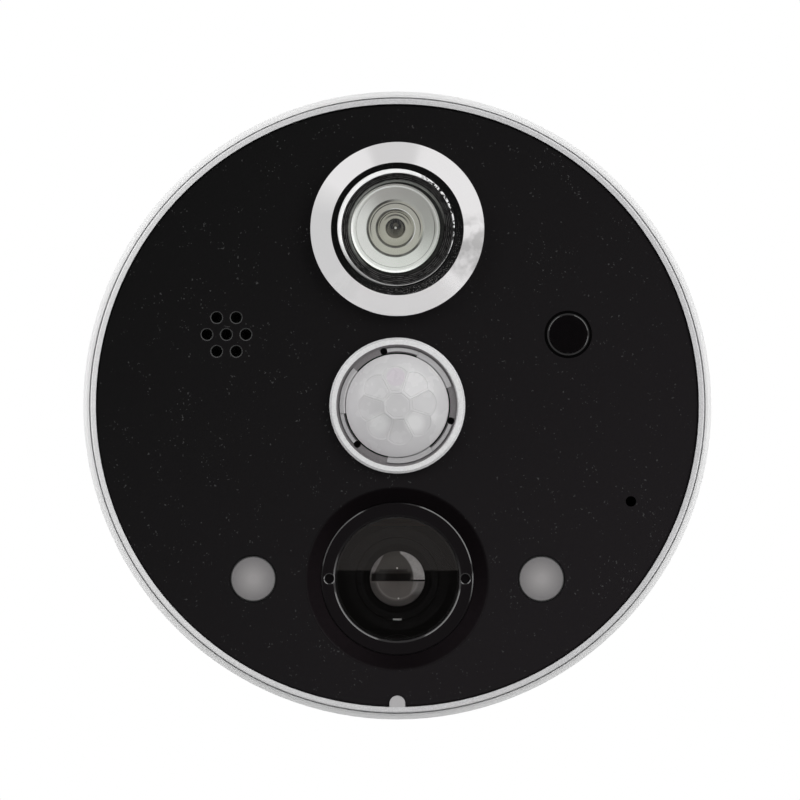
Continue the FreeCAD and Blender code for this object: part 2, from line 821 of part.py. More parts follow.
def face_plate():
    body = piece("face_plate")
    pad(body, "sheet", "deck_front", "face_depth", disc("plate_radius"))
    cut(
        body, "openings", "deck_front", "face_depth",
        disc("barrel_hole", up="viewer_rise"),
        disc("detector_collar_radius + plate_hole_gap"),
        disc("camera_hole", up="-camera_drop"),
        disc("button_opening", "button_reach", "upper_row"),
        disc("mic_hole_radius", "mic_across", "-mic_drop"),
        *[disc("lamp_hole", lamp, "-camera_drop") for lamp in LAMPS.values()],
        *discs("sound_hole_radius", SOUND_HOLES),
    )
    cut(body, "key_notch", "deck_front", "face_depth", key("plate_hole_gap"))
    chamfer(body, "sound_hole_radius", "face_depth", "sound_hole_sink")
    dish = body.newObject("PartDesign::SubtractiveCone", "face_plate_dish")
    support = next(item for item in body.Origin.OriginFeatures if item.Role == "XY_Plane")
    dish.AttachmentSupport = [(support, "")]
    dish.MapMode = "FlatFace"
    tie(dish, "AttachmentOffset.Base.y", "-camera_drop")
    tie(dish, "AttachmentOffset.Base.z", "deck_front")
    tie(dish, "Radius1", "camera_hole")
    tie(dish, "Radius2", "dish_radius")
    tie(dish, "Height", "plate_thickness")
    cuts.append(dish)
    chamfer(body, "plate_radius", "face_depth", "plate_chamfer")


def seals():
    turn(
        piece("housing_seal"), "ring",
        ("tongue_outer + seal_gap", "seat_depth"),
        ("lip_inner - seal_gap", "seat_depth"),
        ("lip_inner - seal_gap", "skirt_end"),
        ("tongue_outer + seal_gap", "skirt_end"),
    )
    turn(
        piece("door_gasket"), "ring",
        ("gasket_inner + gasket_gap", "0"),
        ("gasket_outer - gasket_gap", "0"),
        ("gasket_outer - gasket_gap", "gasket_thickness"),
        ("gasket_inner + gasket_gap", "gasket_thickness"),
    )


def screws(label, places, seat, length):
    """A group of screws whose heads bear on a seat and whose shanks reach out from it."""
    body = piece(label)
    pad(
        body, "heads", f"{seat} - screw_head_height", seat,
        *discs("screw_head_radius", places),
    )
    pad(body, "shanks", seat, f"{seat} + {length}", *discs("screw_radius", places))


def door_viewer():
    barrel = piece("viewer_barrel", up="viewer_rise")
    turn(
        barrel, "tube",
        ("thread_radius", "-barrel_reach"),
        ("barrel_radius - barrel_chamfer", "-barrel_reach"),
        ("barrel_radius", "barrel_chamfer - barrel_reach"),
        ("barrel_radius", "-barrel_root_reach"),
        ("barrel_root_radius", "-barrel_root_reach"),
        ("barrel_root_radius", "face_depth"),
        ("flange_radius", "face_depth"),
        ("flange_radius", "flange_front - flange_slope"),
        ("flange_bore + barrel_chamfer", "flange_front"),
        ("flange_bore", "flange_front"),
        ("flange_bore", "flange_front - flange_recess"),
        ("lens_bore", "flange_front - flange_recess"),
        ("lens_bore", "lens_shoulder"),
        ("throat_radius", "lens_shoulder"),
        ("throat_radius", "thread_length - barrel_reach"),
        ("thread_radius", "thread_length - barrel_reach"),
    )
    turn(
        piece("viewer_lens_ring", up="viewer_rise"), "ring",
        ("lens_ring_opening", "lens_ring_seat"),
        ("lens_radius", "lens_ring_seat"),
        ("lens_radius", "lens_ring_front"),
        ("lens_ring_crest - lens_ring_crest_width", "lens_ring_front"),
        ("lens_ring_opening", "lens_ring_front - lens_ring_slope"),
    )
    crown_edge = "lens_ring_opening - objective_bevel"
    turn(
        piece("viewer_objective_lens", up="viewer_rise"), "glass",
        ("0", "objective_back + objective_hollow"),
        ("hollow_floor", "objective_back + objective_hollow"),
        ("hollow_radius", "objective_back"),
        ("lens_radius", "objective_back"),
        ("lens_radius", "lens_ring_seat"),
        ("lens_ring_opening", "lens_ring_seat"),
        (crown_edge, "lens_ring_seat + objective_bevel"),
        (
            "0", "lens_ring_seat + objective_bevel + objective_crown",
            f"(({crown_edge}) ^ 2 + objective_crown ^ 2) / (2 * objective_crown)",
        ),
    )
    turn(
        piece("viewer_spacer", up="viewer_rise"), "tube",
        ("hollow_radius", "second_lens_front"),
        ("lens_radius", "second_lens_front"),
        ("lens_radius", "objective_back"),
        ("hollow_radius", "objective_back"),
    )
    turn(
        piece("viewer_second_lens", up="viewer_rise"), "glass",
        ("0", "second_lens_back"),
        ("lens_radius", "second_lens_back"),
        ("lens_radius", "second_lens_front"),
        ("hollow_radius", "second_lens_front"),
        ("hollow_floor", "second_lens_front - second_lens_hollow"),
        ("0", "second_lens_front - second_lens_hollow"),
    )
    turn(
        piece("viewer_rear_lens", up="viewer_rise"), "glass",
        ("0", "lens_shoulder - rear_lens_crown"),
        ("hollow_floor", "lens_shoulder - rear_lens_crown"),
        ("hollow_radius", "lens_shoulder"),
        ("lens_radius", "lens_shoulder"),
        ("lens_radius", "second_lens_back"),
        ("0", "second_lens_back"),
    )
    nut = piece("viewer_nut", up="viewer_rise")
    pad(
        nut, "ring", "nut_back", "deck_back",
        ring("nut_radius", "barrel_root_radius + screw_thread_gap"),
    )
    slot = cut(
        nut, "slot", "nut_back", "nut_back + nut_slot_depth",
        block("nut_radius", "nut_slot_width", across="nut_radius"),
    )
    repeat(nut, slot, 4)


def motion_detector():
    lens = piece("detector_lens")
    turn(
        lens, "dome",
        ("dome_hollow", "dome_skirt_back"),
        ("dome_radius", "dome_skirt_back"),
        ("dome_radius", "dome_base"),
        ("0", "dome_top", "dome_sphere"),
        ("0", "dome_top - dome_wall"),
        ("dome_hollow / 2", "dome_top - dome_shoulder_drop"),
        ("dome_hollow", "dome_base"),
    )
    tab = pad(
        lens, "tab", "detector_ledge", "dome_base",
        sector("tab_radius", "dome_radius - dome_wall / 2", "tab_middle", "tab_angle"),
    )
    repeat(lens, tab, 3)
    cut(lens, "middle_facet", "middle_facet", "dome_top", disc("dome_radius"))
    facet = Drawing(lens, "facet", plane="XZ_Plane")
    turned = FreeCAD.Rotation(FreeCAD.Vector(0, 1, 0), number("facet_angle"))
    facet.sketch.AttachmentOffset = FreeCAD.Placement(FreeCAD.Vector(), turned)
    half = "facet_radius * 1.2"
    foot_across = "facet_depth * facet_sine"
    foot_up = "dome_centre + facet_depth * facet_cosine"
    lift = "(dome_sphere - facet_depth) * 2"
    facet.outline(
        (f"{foot_across} + {half} * facet_cosine", f"{foot_up} - {half} * facet_sine"),
        (
            f"{foot_across} + {half} * facet_cosine + {lift} * facet_sine",
            f"{foot_up} - {half} * facet_sine + {lift} * facet_cosine",
        ),
        (
            f"{foot_across} - {half} * facet_cosine + {lift} * facet_sine",
            f"{foot_up} + {half} * facet_sine + {lift} * facet_cosine",
        ),
        (f"{foot_across} - {half} * facet_cosine", f"{foot_up} + {half} * facet_sine"),
    )
    flat = lens.newObject("PartDesign::Pocket", "detector_lens_facet")
    flat.Profile = facet.sketch
    flat.Midplane = True
    tie(flat, "Length", f"{half} * 2")
    cuts.append(flat)
    ring_of_facets = lens.newObject("PartDesign::PolarPattern", "detector_lens_facets")
    ring_of_facets.Originals = [flat]
    ring_of_facets.Axis = (facet.sketch, ["V_Axis"])
    ring_of_facets.Angle = 360
    ring_of_facets.Occurrences = 8
    lens.Tip = ring_of_facets

    pad(
        piece("sensor_spacer"), "ring", "board_front", "sensor_seat",
        ring("sensor_flange_radius", "sensor_flange_radius - sensor_spacer_wall"),
    )
    sensor = piece("motion_sensor")
    turn(
        sensor, "can",
        ("0", "sensor_seat"),
        ("sensor_flange_radius", "sensor_seat"),
        ("sensor_flange_radius", "sensor_seat + sensor_flange_thickness"),
        ("sensor_can_radius", "sensor_seat + sensor_flange_thickness"),
        ("sensor_can_radius", "sensor_can_front"),
        ("0", "sensor_can_front"),
    )
    pad(
        sensor, "pins", "board_front", "sensor_seat",
        *[block("sensor_pin_width", "sensor_pin_width", *place) for place in SENSOR_PINS],
    )
    cut(
        sensor, "filter_recess", "sensor_can_front - filter_thickness", "sensor_can_front",
        block("filter_width", "filter_height"),
    )
    pad(
        piece("sensor_filter"), "plate", "sensor_can_front - filter_thickness", "sensor_can_front",
        block("filter_width - lamp_window_gap * 2", "filter_height - lamp_window_gap * 2"),
    )


def camera():
    ring_piece = piece("camera_ring", up="-camera_drop")
    turn(
        ring_piece, "ring",
        ("camera_ring_inner", "camera_shoulder + camera_ring_foot"),
        ("camera_ring_radius", "camera_shoulder + camera_ring_foot"),
        ("camera_ring_radius", "camera_ring_front"),
        ("camera_ring_opening + camera_ring_bevel", "camera_ring_front"),
        ("camera_ring_opening", "camera_ring_front - camera_ring_bevel"),
        ("camera_ring_opening", "camera_window_front"),
        ("camera_ring_inner", "camera_window_front"),
    )
    cut(
        ring_piece, "spanner_holes", "camera_ring_front - spanner_hole_depth", "camera_ring_front",
        disc("spanner_hole_radius", "spanner_hole_reach"),
        disc("spanner_hole_radius", "-spanner_hole_reach"),
    )
    pad(
        piece("camera_window", up="-camera_drop"), "glass",
        "camera_window_back", "camera_window_front", disc("camera_window_radius"),
    )
    pad(
        piece("camera_seal", up="-camera_drop"), "ring", "camera_shoulder", "camera_window_back",
        ring("camera_window_radius", "camera_window_radius - camera_seal_width"),
    )
    turn(
        piece("camera_lens_barrel", up="-camera_drop"), "tube",
        ("camera_lens_bore", "camera_tail_back"),
        ("camera_tail_radius", "camera_tail_back"),
        ("camera_tail_radius", "camera_head_back"),
        ("camera_head_radius", "camera_head_back"),
        ("camera_head_radius", "camera_lens_front - camera_head_chamfer"),
        ("camera_head_radius - camera_head_chamfer", "camera_lens_front"),
        ("camera_head_mouth", "camera_lens_front"),
        ("camera_lens_bore", "camera_lens_front - camera_mouth_depth"),
    )
    turn(
        piece("camera_front_lens", up="-camera_drop"), "glass",
        ("0", "camera_front_seat"),
        ("camera_glass_radius", "camera_front_seat"),
        ("camera_glass_radius", "camera_front_seat + camera_front_lens_edge"),
        (
            "0", "camera_front_seat + camera_front_lens_edge + camera_front_lens_crown",
            "(camera_glass_radius ^ 2 + camera_front_lens_crown ^ 2) / (2 * camera_front_lens_crown)",
        ),
    )
    pad(
        piece("camera_rear_lens", up="-camera_drop"), "glass",
        "camera_tail_back", "camera_tail_back + camera_rear_lens_thickness",
        disc("camera_glass_radius"),
    )
    holder = piece("camera_lens_holder", up="-camera_drop")
    pad(
        holder, "base", "camera_board_front", "camera_base_front",
        block("camera_base_width", "camera_base_height"),
    )
    pad(holder, "tube", "camera_base_front", "camera_holder_front", disc("camera_holder_radius"))
    cut(
        holder, "bore", "camera_board_front", "camera_holder_front",
        disc("camera_tail_radius + camera_fit_gap"),
    )
    cut(
        holder, "sensor_room", "camera_board_front",
        "camera_board_front + image_sensor_thickness + image_sensor_gap / 2",
        block("image_sensor_width + image_sensor_gap * 2", "image_sensor_height + image_sensor_gap * 2"),
    )
    pad(
        piece("image_sensor", up="-camera_drop"), "chip",
        "camera_board_front", "camera_board_front + image_sensor_thickness",
        block("image_sensor_width", "image_sensor_height"),
    )
    board = piece("camera_board", up="-camera_drop")
    pad(
        board, "board", "camera_board_depth", "camera_board_front",
        block("camera_board_width", "camera_board_height"),
    )
    cut(
        board, "screw_holes", "camera_board_depth", "camera_board_front",
        disc("screw_radius + screw_hole_gap", "camera_screw_reach"),
        disc("screw_radius + screw_hole_gap", "-camera_screw_reach"),
    )


def camera_flex():
    """A flat strip that leaves the camera board's back and laps onto the main board's back."""
    body = piece("camera_flex")
    drawing = Drawing(body, "strip", plane="YZ_Plane")
    low = "camera_board_depth - flex_thickness"
    high = "board_depth - flex_thickness"
    bend_start = "camera_board_top + flex_lead"
    bend_end = "flex_lead - board_slot_top"
    drawing.outline(
        ("camera_board_top - flex_lap", low),
        (bend_start, low),
        (bend_end, high),
        (f"{bend_end} + flex_lap", high),
        (f"{bend_end} + flex_lap", "board_depth"),
        (f"{bend_end} - flex_thickness / 2", "board_depth"),
        (f"{bend_start} - flex_thickness / 2", "camera_board_depth"),
        ("camera_board_top - flex_lap", "camera_board_depth"),
    )
    strip = body.newObject("PartDesign::Pad", "camera_flex_strip")
    strip.Profile = drawing.sketch
    strip.Midplane = True
    tie(strip, "Length", "flex_width")


def infrared_lamp(side, across):
    turn(
        piece(f"infrared_window_{side}", across, "-camera_drop"), "plug",
        ("0", "lamp_window_back"),
        ("lamp_flange_radius", "lamp_window_back"),
        ("lamp_flange_radius", "deck_back"),
        ("lamp_window_radius", "deck_back"),
        ("lamp_window_radius", "lamp_window_front - lamp_window_chamfer"),
        ("lamp_window_radius - lamp_window_chamfer", "lamp_window_front"),
        ("0", "lamp_window_front"),
    )
    lamp = piece(f"infrared_led_{side}", across, "-camera_drop")
    turn(
        lamp, "body",
        ("0", "lamp_base"),
        ("lamp_base_radius", "lamp_base"),
        ("lamp_base_radius", "lamp_base + lamp_base_thickness"),
        ("lamp_radius", "lamp_base + lamp_base_thickness"),
        ("lamp_radius", "lamp_top - lamp_tip"),
        ("lamp_radius - lamp_tip", "lamp_top"),
        ("0", "lamp_top"),
    )
    pad(
        lamp, "pins", "board_front", "lamp_base",
        block("lamp_pin_width", "lamp_pin_width", across="-lamp_pin_spacing / 2"),
        block("lamp_pin_width", "lamp_pin_width", across="lamp_pin_spacing / 2"),
    )


def speaker():
    place = {"across": "-speaker_reach", "up": "upper_row"}
    pad(
        piece("speaker_mesh", **place), "disc", "mesh_back", "deck_back",
        disc("mesh_radius"),
    )
    pad(
        piece("speaker_gasket", **place), "ring", "speaker_front", "mesh_back",
        ring("speaker_radius", "speaker_radius - speaker_gasket_width"),
    )
    turn(
        piece("speaker_frame", **place), "basket",
        ("magnet_gap_outer", "speaker_back"),
        ("speaker_radius", "speaker_back"),
        ("speaker_radius", "speaker_front"),
        ("cone_edge", "speaker_front"),
        ("cone_edge", "speaker_back + speaker_floor"),
        ("magnet_gap_outer", "speaker_back + speaker_floor"),
    )
    turn(
        piece("speaker_magnet", **place), "pot",
        ("0", "magnet_back"),
        ("magnet_radius", "magnet_back"),
        ("magnet_radius", "speaker_back"),
        ("magnet_gap_outer", "speaker_back"),
        ("magnet_gap_outer", "magnet_back + magnet_floor"),
        ("magnet_pole_radius", "magnet_back + magnet_floor"),
        ("magnet_pole_radius", "speaker_back + magnet_pole_rise"),
        ("0", "speaker_back + magnet_pole_rise"),
    )
    pad(
        piece("speaker_coil", **place), "winding", "coil_back", "coil_front",
        ring("coil_radius", "coil_radius - coil_wall"),
    )
    turn(
        piece("speaker_cone", **place), "cone",
        ("0", "coil_front"),
        ("coil_radius", "coil_front"),
        ("cone_edge - speaker_fit_gap", "cone_front"),
        ("cone_edge - speaker_fit_gap", "cone_front + cone_thickness"),
        ("coil_radius", "coil_front + cone_thickness"),
        ("0", "coil_front + cone_thickness"),
    )
    contacts = piece("speaker_contacts", **place)
    pad(
        contacts, "pins", "board_front", "speaker_back",
        block("contact_width", "contact_width", "-contact_spacing / 2", "-contact_drop"),
        block("contact_width", "contact_width", "contact_spacing / 2", "-contact_drop"),
    )


def microphone():
    turn(
        piece("mic_boot", "mic_across", "-mic_drop"), "boot",
        ("mic_radius + mic_fit_gap", "mic_boot_back"),
        ("mic_boot_radius", "mic_boot_back"),
        ("mic_boot_radius", "deck_back"),
        ("mic_hole_radius", "deck_back"),
        ("mic_hole_radius", "mic_front"),
        ("mic_radius + mic_fit_gap", "mic_front"),
    )
    capsule = piece("mic_capsule", "mic_across", "-mic_drop")
    pad(capsule, "can", "mic_back", "mic_front", disc("mic_radius"))
    pad(
        capsule, "pins", "board_front", "mic_back",
        block("mic_pin_width", "mic_pin_width", "-mic_pin_spacing / 2"),
        block("mic_pin_width", "mic_pin_width", "mic_pin_spacing / 2"),
    )


def call_button():
    place = {"across": "button_reach", "up": "upper_row"}
    turn(
        piece("button_cap", **place), "cap",
        ("0", "button_stem_end"),
        ("button_stem_radius", "button_stem_end"),
        ("button_stem_radius", "button_collar_back"),
        ("button_collar_radius", "button_collar_back"),
        ("button_collar_radius", "button_collar_front"),
        ("button_radius", "button_collar_front"),
        ("button_radius", "button_front - button_chamfer"),
        ("button_radius - button_chamfer", "button_front"),
        ("0", "button_front"),
    )
    switch = piece("switch_body", **place)
    pad(switch, "case", "board_front", "switch_front", block("switch_width", "switch_width"))
    cut(switch, "well", "snap_dome_seat", "switch_front", disc("switch_mouth"))
    pad(
        piece("switch_plunger", **place), "plunger", "plunger_back", "button_stem_end",
        disc("plunger_radius"),
    )
    turn(
        piece("switch_dome", **place), "dome",
        ("snap_dome_radius", "snap_dome_seat"),
        ("snap_dome_crown", "plunger_back"),
        ("0", "plunger_back"),
        ("0", "plunger_back - snap_dome_thickness"),
        ("snap_dome_crown", "plunger_back - snap_dome_thickness"),
        ("snap_dome_radius - snap_dome_thickness", "snap_dome_seat"),
    )


def main_board():
    board = piece("main_board")
    pad(board, "board", "board_depth", "board_front", disc("board_radius"))
    slot_half = "board_slot_width / 2"
    cut(
        board, "camera_slot", "board_depth", "board_front",
        outline(
            (f"-{slot_half}", "-board_radius - board_gap"),
            (slot_half, "-board_radius - board_gap"),
            (slot_half, "-board_slot_top"),
            (f"-{slot_half}", "-board_slot_top"),
        ),
    )
    cut(
        board, "boss_notches", "board_depth", "board_front",
        *discs("boss_radius + board_boss_gap", HOUSING_SCREWS[:2]),
    )
    cut(
        board, "holes", "board_depth", "board_front",
        disc("barrel_root_radius + board_barrel_gap", up="viewer_rise"),
        *discs("screw_radius + screw_hole_gap", BOARD_SCREWS),
    )
    connector = piece("cable_connector", "connector_across", "connector_up")
    pad(
        connector, "shell", "board_depth - connector_depth", "board_depth",
        block("connector_width", "connector_height"),
    )
    cut(
        connector, "mouth", "board_depth - connector_depth + connector_wall",
        "board_depth - connector_wall",
        block(
            "connector_width", "connector_height - connector_wall * 2", across="-connector_wall",
        ),
    )
    chips = piece("board_chips")
    pad(
        chips, "chips", "board_front", "board_front + chip_thickness",
        block("processor_width", "processor_width", "processor_across", "-processor_drop"),
        block("memory_width", "memory_height", "-memory_across", "-memory_drop"),
    )


def check_and_export():
    """Stops on a feature that failed or cut nothing, then writes each piece to its own file."""
    doc.recompute()
    faults = [item.Name for item in doc.Objects if {"Invalid", "Error"} & set(item.State)]
    faults += [
        feature.Name
        for feature in cuts
        if feature.Name not in faults
        and feature.Shape.Volume > feature.BaseFeature.Shape.Volume - 1e-6
    ]
    faults += [body.Label for body in pieces if body.Shape.isNull() or not body.Shape.isValid()]
    if faults:
        sys.exit("These failed: " + ", ".join(faults))
    os.makedirs("parts", exist_ok=True)
    for body in pieces:
        body.Shape.exportStep(f"parts/{body.Label}.step")
    print(len(pieces), "pieces written")


rear_housing()
front_housing()
face_plate()
seals()
screws("housing_screws", HOUSING_SCREWS, "counterbore_depth", "housing_screw_length")
screws("board_screws", BOARD_SCREWS, "board_depth", "board_screw_length")
screws("camera_screws", CAMERA_SCREWS, "camera_board_depth", "camera_screw_length")
door_viewer()
motion_detector()
camera()
camera_flex()
for lamp_side, lamp_across in LAMPS.items():
    infrared_lamp(lamp_side, lamp_across)
speaker()
microphone()
call_button()
main_board()
check_and_export()
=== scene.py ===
"""Looks of the outdoor unit of a door-viewer camera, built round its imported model."""
import json
import math

import bpy
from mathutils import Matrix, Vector


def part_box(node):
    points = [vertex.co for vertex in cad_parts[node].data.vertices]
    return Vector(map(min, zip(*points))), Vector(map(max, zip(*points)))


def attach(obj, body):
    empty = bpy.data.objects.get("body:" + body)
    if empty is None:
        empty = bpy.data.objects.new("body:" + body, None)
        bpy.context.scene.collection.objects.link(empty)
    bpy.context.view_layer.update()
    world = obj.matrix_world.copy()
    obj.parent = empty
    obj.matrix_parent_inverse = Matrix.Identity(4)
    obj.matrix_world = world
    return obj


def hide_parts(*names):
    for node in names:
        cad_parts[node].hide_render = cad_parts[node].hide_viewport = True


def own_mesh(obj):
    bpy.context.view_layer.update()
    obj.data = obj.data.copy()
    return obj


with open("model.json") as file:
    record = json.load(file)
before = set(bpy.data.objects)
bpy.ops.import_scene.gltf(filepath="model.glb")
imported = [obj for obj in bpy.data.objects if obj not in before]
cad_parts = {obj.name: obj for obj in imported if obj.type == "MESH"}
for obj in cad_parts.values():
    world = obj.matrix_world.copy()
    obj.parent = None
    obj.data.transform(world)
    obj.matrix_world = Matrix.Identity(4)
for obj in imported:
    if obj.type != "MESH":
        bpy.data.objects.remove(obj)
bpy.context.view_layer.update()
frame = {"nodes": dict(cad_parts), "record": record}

MM = 0.001
DEGREE = math.pi / 180

# Bearings on the face in degrees, as seen from the front
RIGHT = 0
TOP = 90
LEFT = 180
BOTTOM = 270

# How far the camera stands from the face, in metres
AWAY = 3.0
# The width of its picture there and the place that its middle shows, in millimetres
PICTURE_WIDTH = 83.8
PICTURE_CENTRE = (0.28, 0.58)


def centre_of(node):
    """Where the middle of a node lies on the face, across and up in millimetres."""
    low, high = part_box(node)
    return round((low[0] + high[0]) / 2 / MM, 2), round((low[2] + high[2]) / 2 / MM, 2)


BODY = (0, 0)
VIEWER = centre_of("viewer_barrel")
DETECTOR = centre_of("detector_lens")
CAMERA = centre_of("camera_ring")
LENS = centre_of("camera_front_lens")
BUTTON = centre_of("button_cap")
MICROPHONE = centre_of("mic_capsule")
SPEAKER = centre_of("speaker_mesh")
LAMP = centre_of("infrared_window_right")
FACE_DEPTH = -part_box("face_plate")[0][1] / MM
# The viewer's glass sits a little left of its flange, and up from it
GLASS = (VIEWER[0] - 0.20, VIEWER[1] + 0.08)

# Radii and bearings that a finish follows on a solid, in millimetres and degrees
BODY_RADIUS = 33.0
DISH_RADIUS = 9.55
SOUND_HOLES_RADIUS = 3.2
CREST_RADIUS = 7.2
NOTCH_REACH = 5.84
NOTCH_BEARINGS = (104, 224, 344)
SPANNER_HOLE_REACH = 7.12


class Reading:
    """A value in a material that changes over the surface, on which sums are written out."""

    def __init__(self, finish, socket):
        self.finish = finish
        self.socket = socket

    def sum(self, operation, *values, clamp=False):
        return self.finish.node("ShaderNodeMath", {"operation": operation, "use_clamp": clamp}, *values)

    def __add__(self, other):
        return self.sum("ADD", self, other)

    __radd__ = __add__

    def __sub__(self, other):
        return self.sum("SUBTRACT", self, other)

    def __rsub__(self, other):
        return self.sum("SUBTRACT", other, self)

    def __mul__(self, other):
        return self.sum("MULTIPLY", self, other)

    __rmul__ = __mul__

    def __truediv__(self, other):
        return self.sum("DIVIDE", self, other)

    def __pow__(self, other):
        return self.sum("POWER", self, other)

    def __abs__(self):
        return self.sum("ABSOLUTE", self)

    def over(self, edge, soft):
        """A mask that is 1 above an edge and 0 below it, with a soft step."""
        return self.sum("MULTIPLY_ADD", self, 1 / soft, 0.5 - edge / soft, clamp=True)

    def under(self, edge, soft):
        """A mask that is 1 below an edge and 0 above it, with a soft step."""
        return self.sum("MULTIPLY_ADD", self, -1 / soft, 0.5 + edge / soft, clamp=True)

    def between(self, low, high, soft):
        """A mask that is 1 between two edges and 0 outside them."""
        return self.over(low, soft) * self.under(high, soft)

    def wave(self):
        """The sine of this value, from -1 to 1."""
        return self.sum("SINE", self)

    def laid(self, mask, level):
        """This value where the mask is 0 and a level where it is 1."""
        return self + mask * (level - self)


class Nodes:
    """A node tree that is being filled, and the coordinates that its patterns follow."""

    def __init__(self, owner, coordinates):
        owner.use_nodes = True
        self.tree = owner.node_tree
        self.tree.nodes.clear()
        self.place = self.node("ShaderNodeTexCoord", {}, output=coordinates)

    def node(self, kind, settings, *values, output=0, **named):
        """Adds a node: its settings first, then its sockets in order or by name."""
        made = self.tree.nodes.new(kind)
        for setting, value in settings.items():
            setattr(made, setting, value)
        places = list(enumerate(values))
        places += [(name.replace("_", " "), value) for name, value in named.items()]
        for place, value in places:
            if isinstance(value, Reading):
                self.tree.links.new(value.socket, made.inputs[place])
            elif value is not None:
                colour = made.inputs[place].type == "RGBA"
                made.inputs[place].default_value = (*value, 1) if colour else value
        return Reading(self, made.outputs[output]) if made.outputs else made

    def axis(self, name):
        """One of the three coordinates."""
        return self.node("ShaderNodeSeparateXYZ", {}, self.place, output=name)

    def mix(self, mask, first, second):
        """One colour where the mask is 0 and another where it is 1."""
        # The sockets for other kinds of value, which stand between the factor and the two colours
        others = [None] * 5
        return self.node("ShaderNodeMix", {"data_type": "RGBA"}, mask, *others, first, second, output=2)


class Finish(Nodes):
    """A material being made up from nodes, on the piece's own coordinates in millimetres."""

    def __init__(self, name):
        self.material = bpy.data.materials.new(name)
        super().__init__(self.material, "Object")

    def part(self, axis):
        """One coordinate of the surface point."""
        return self.axis(axis) / MM

    def depth(self):
        """How far the surface point stands in front of the door."""
        return self.part("Y") * -1

    def reach(self, across, up):
        """Distance from a line that runs through the face at a place."""
        return ((self.part("X") - across) ** 2 + (self.part("Z") - up) ** 2) ** 0.5

    def toward(self, across, up, bearing):
        """Cosine of the angle at a place between the surface point and a bearing."""
        side = (self.part("X") - across) * math.cos(bearing * DEGREE)
        rise = (self.part("Z") - up) * math.sin(bearing * DEGREE)
        return (side + rise) / (self.reach(across, up) + 0.001)

    def grain(self, size, detail=2.0):
        """Noise from 0 to 1 whose lumps are about a size."""
        return self.node(
            "ShaderNodeTexNoise", {}, output="Fac", Vector=self.place,
            Scale=1 / (size * MM), Detail=detail, Roughness=0.55,
        )

    def surface(self, colour, roughness, height=None, depth=0.0, **sockets):
        """Ends the material in its surface. Height runs from 0 to 1 over a depth."""
        if height is not None:
            sockets["Normal"] = self.node(
                "ShaderNodeBump", {}, Strength=1.0, Distance=depth * MM, Height=height,
            )
        shader = self.node("ShaderNodeBsdfPrincipled", {}, Base_Color=colour, Roughness=roughness, **sockets)
        self.node("ShaderNodeOutputMaterial", {}, shader)
        return self.material


def grey(level):
    """A neutral colour of a level from 0, black, to 1, white."""
    return (level, level, level)


def black_plate():
    """Matte powder coat with sparse light specks, a metallic dish, painted light towards the lower right and
    bevels at the sound holes painted pale as highlights.
    """
    finish = Finish("matte black powder coat")
    fine = finish.grain(0.12)
    specks = finish.grain(0.24, 1.0).over(0.70, 0.03)
    marks = finish.grain(1.3).over(0.56, 0.05)
    # Painted light, growing from the upper left towards the lower right
    light_toward_lower_right = (finish.part("X") - finish.part("Z")) / 90 + 0.5
    dish = finish.reach(*CAMERA).under(DISH_RADIUS, 0.35)
    # Painted highlights: the sound holes' bevels are painted pale, so that their rims catch the light
    bevels = finish.reach(*SPEAKER).under(SOUND_HOLES_RADIUS, 0.1)
    bevels = bevels * finish.depth().under(FACE_DEPTH - 0.012, 0.01)
    colour = finish.mix(fine, grey(0.0012), (0.0026, 0.0025, 0.0026))
    colour = finish.mix(light_toward_lower_right, colour, (0.0075, 0.0062, 0.0071))
    colour = finish.mix(specks * marks, colour, grey(0.035))
    colour = finish.mix(dish, colour, (0.0052, 0.0040, 0.0046))
    colour = finish.mix(bevels, colour, grey(0.055))
    return finish.surface(
        colour, finish.grain(0.6) * 0.12 + 0.50, fine, 0.005, Specular_IOR_Level=0.08, Metallic=dish,
    )


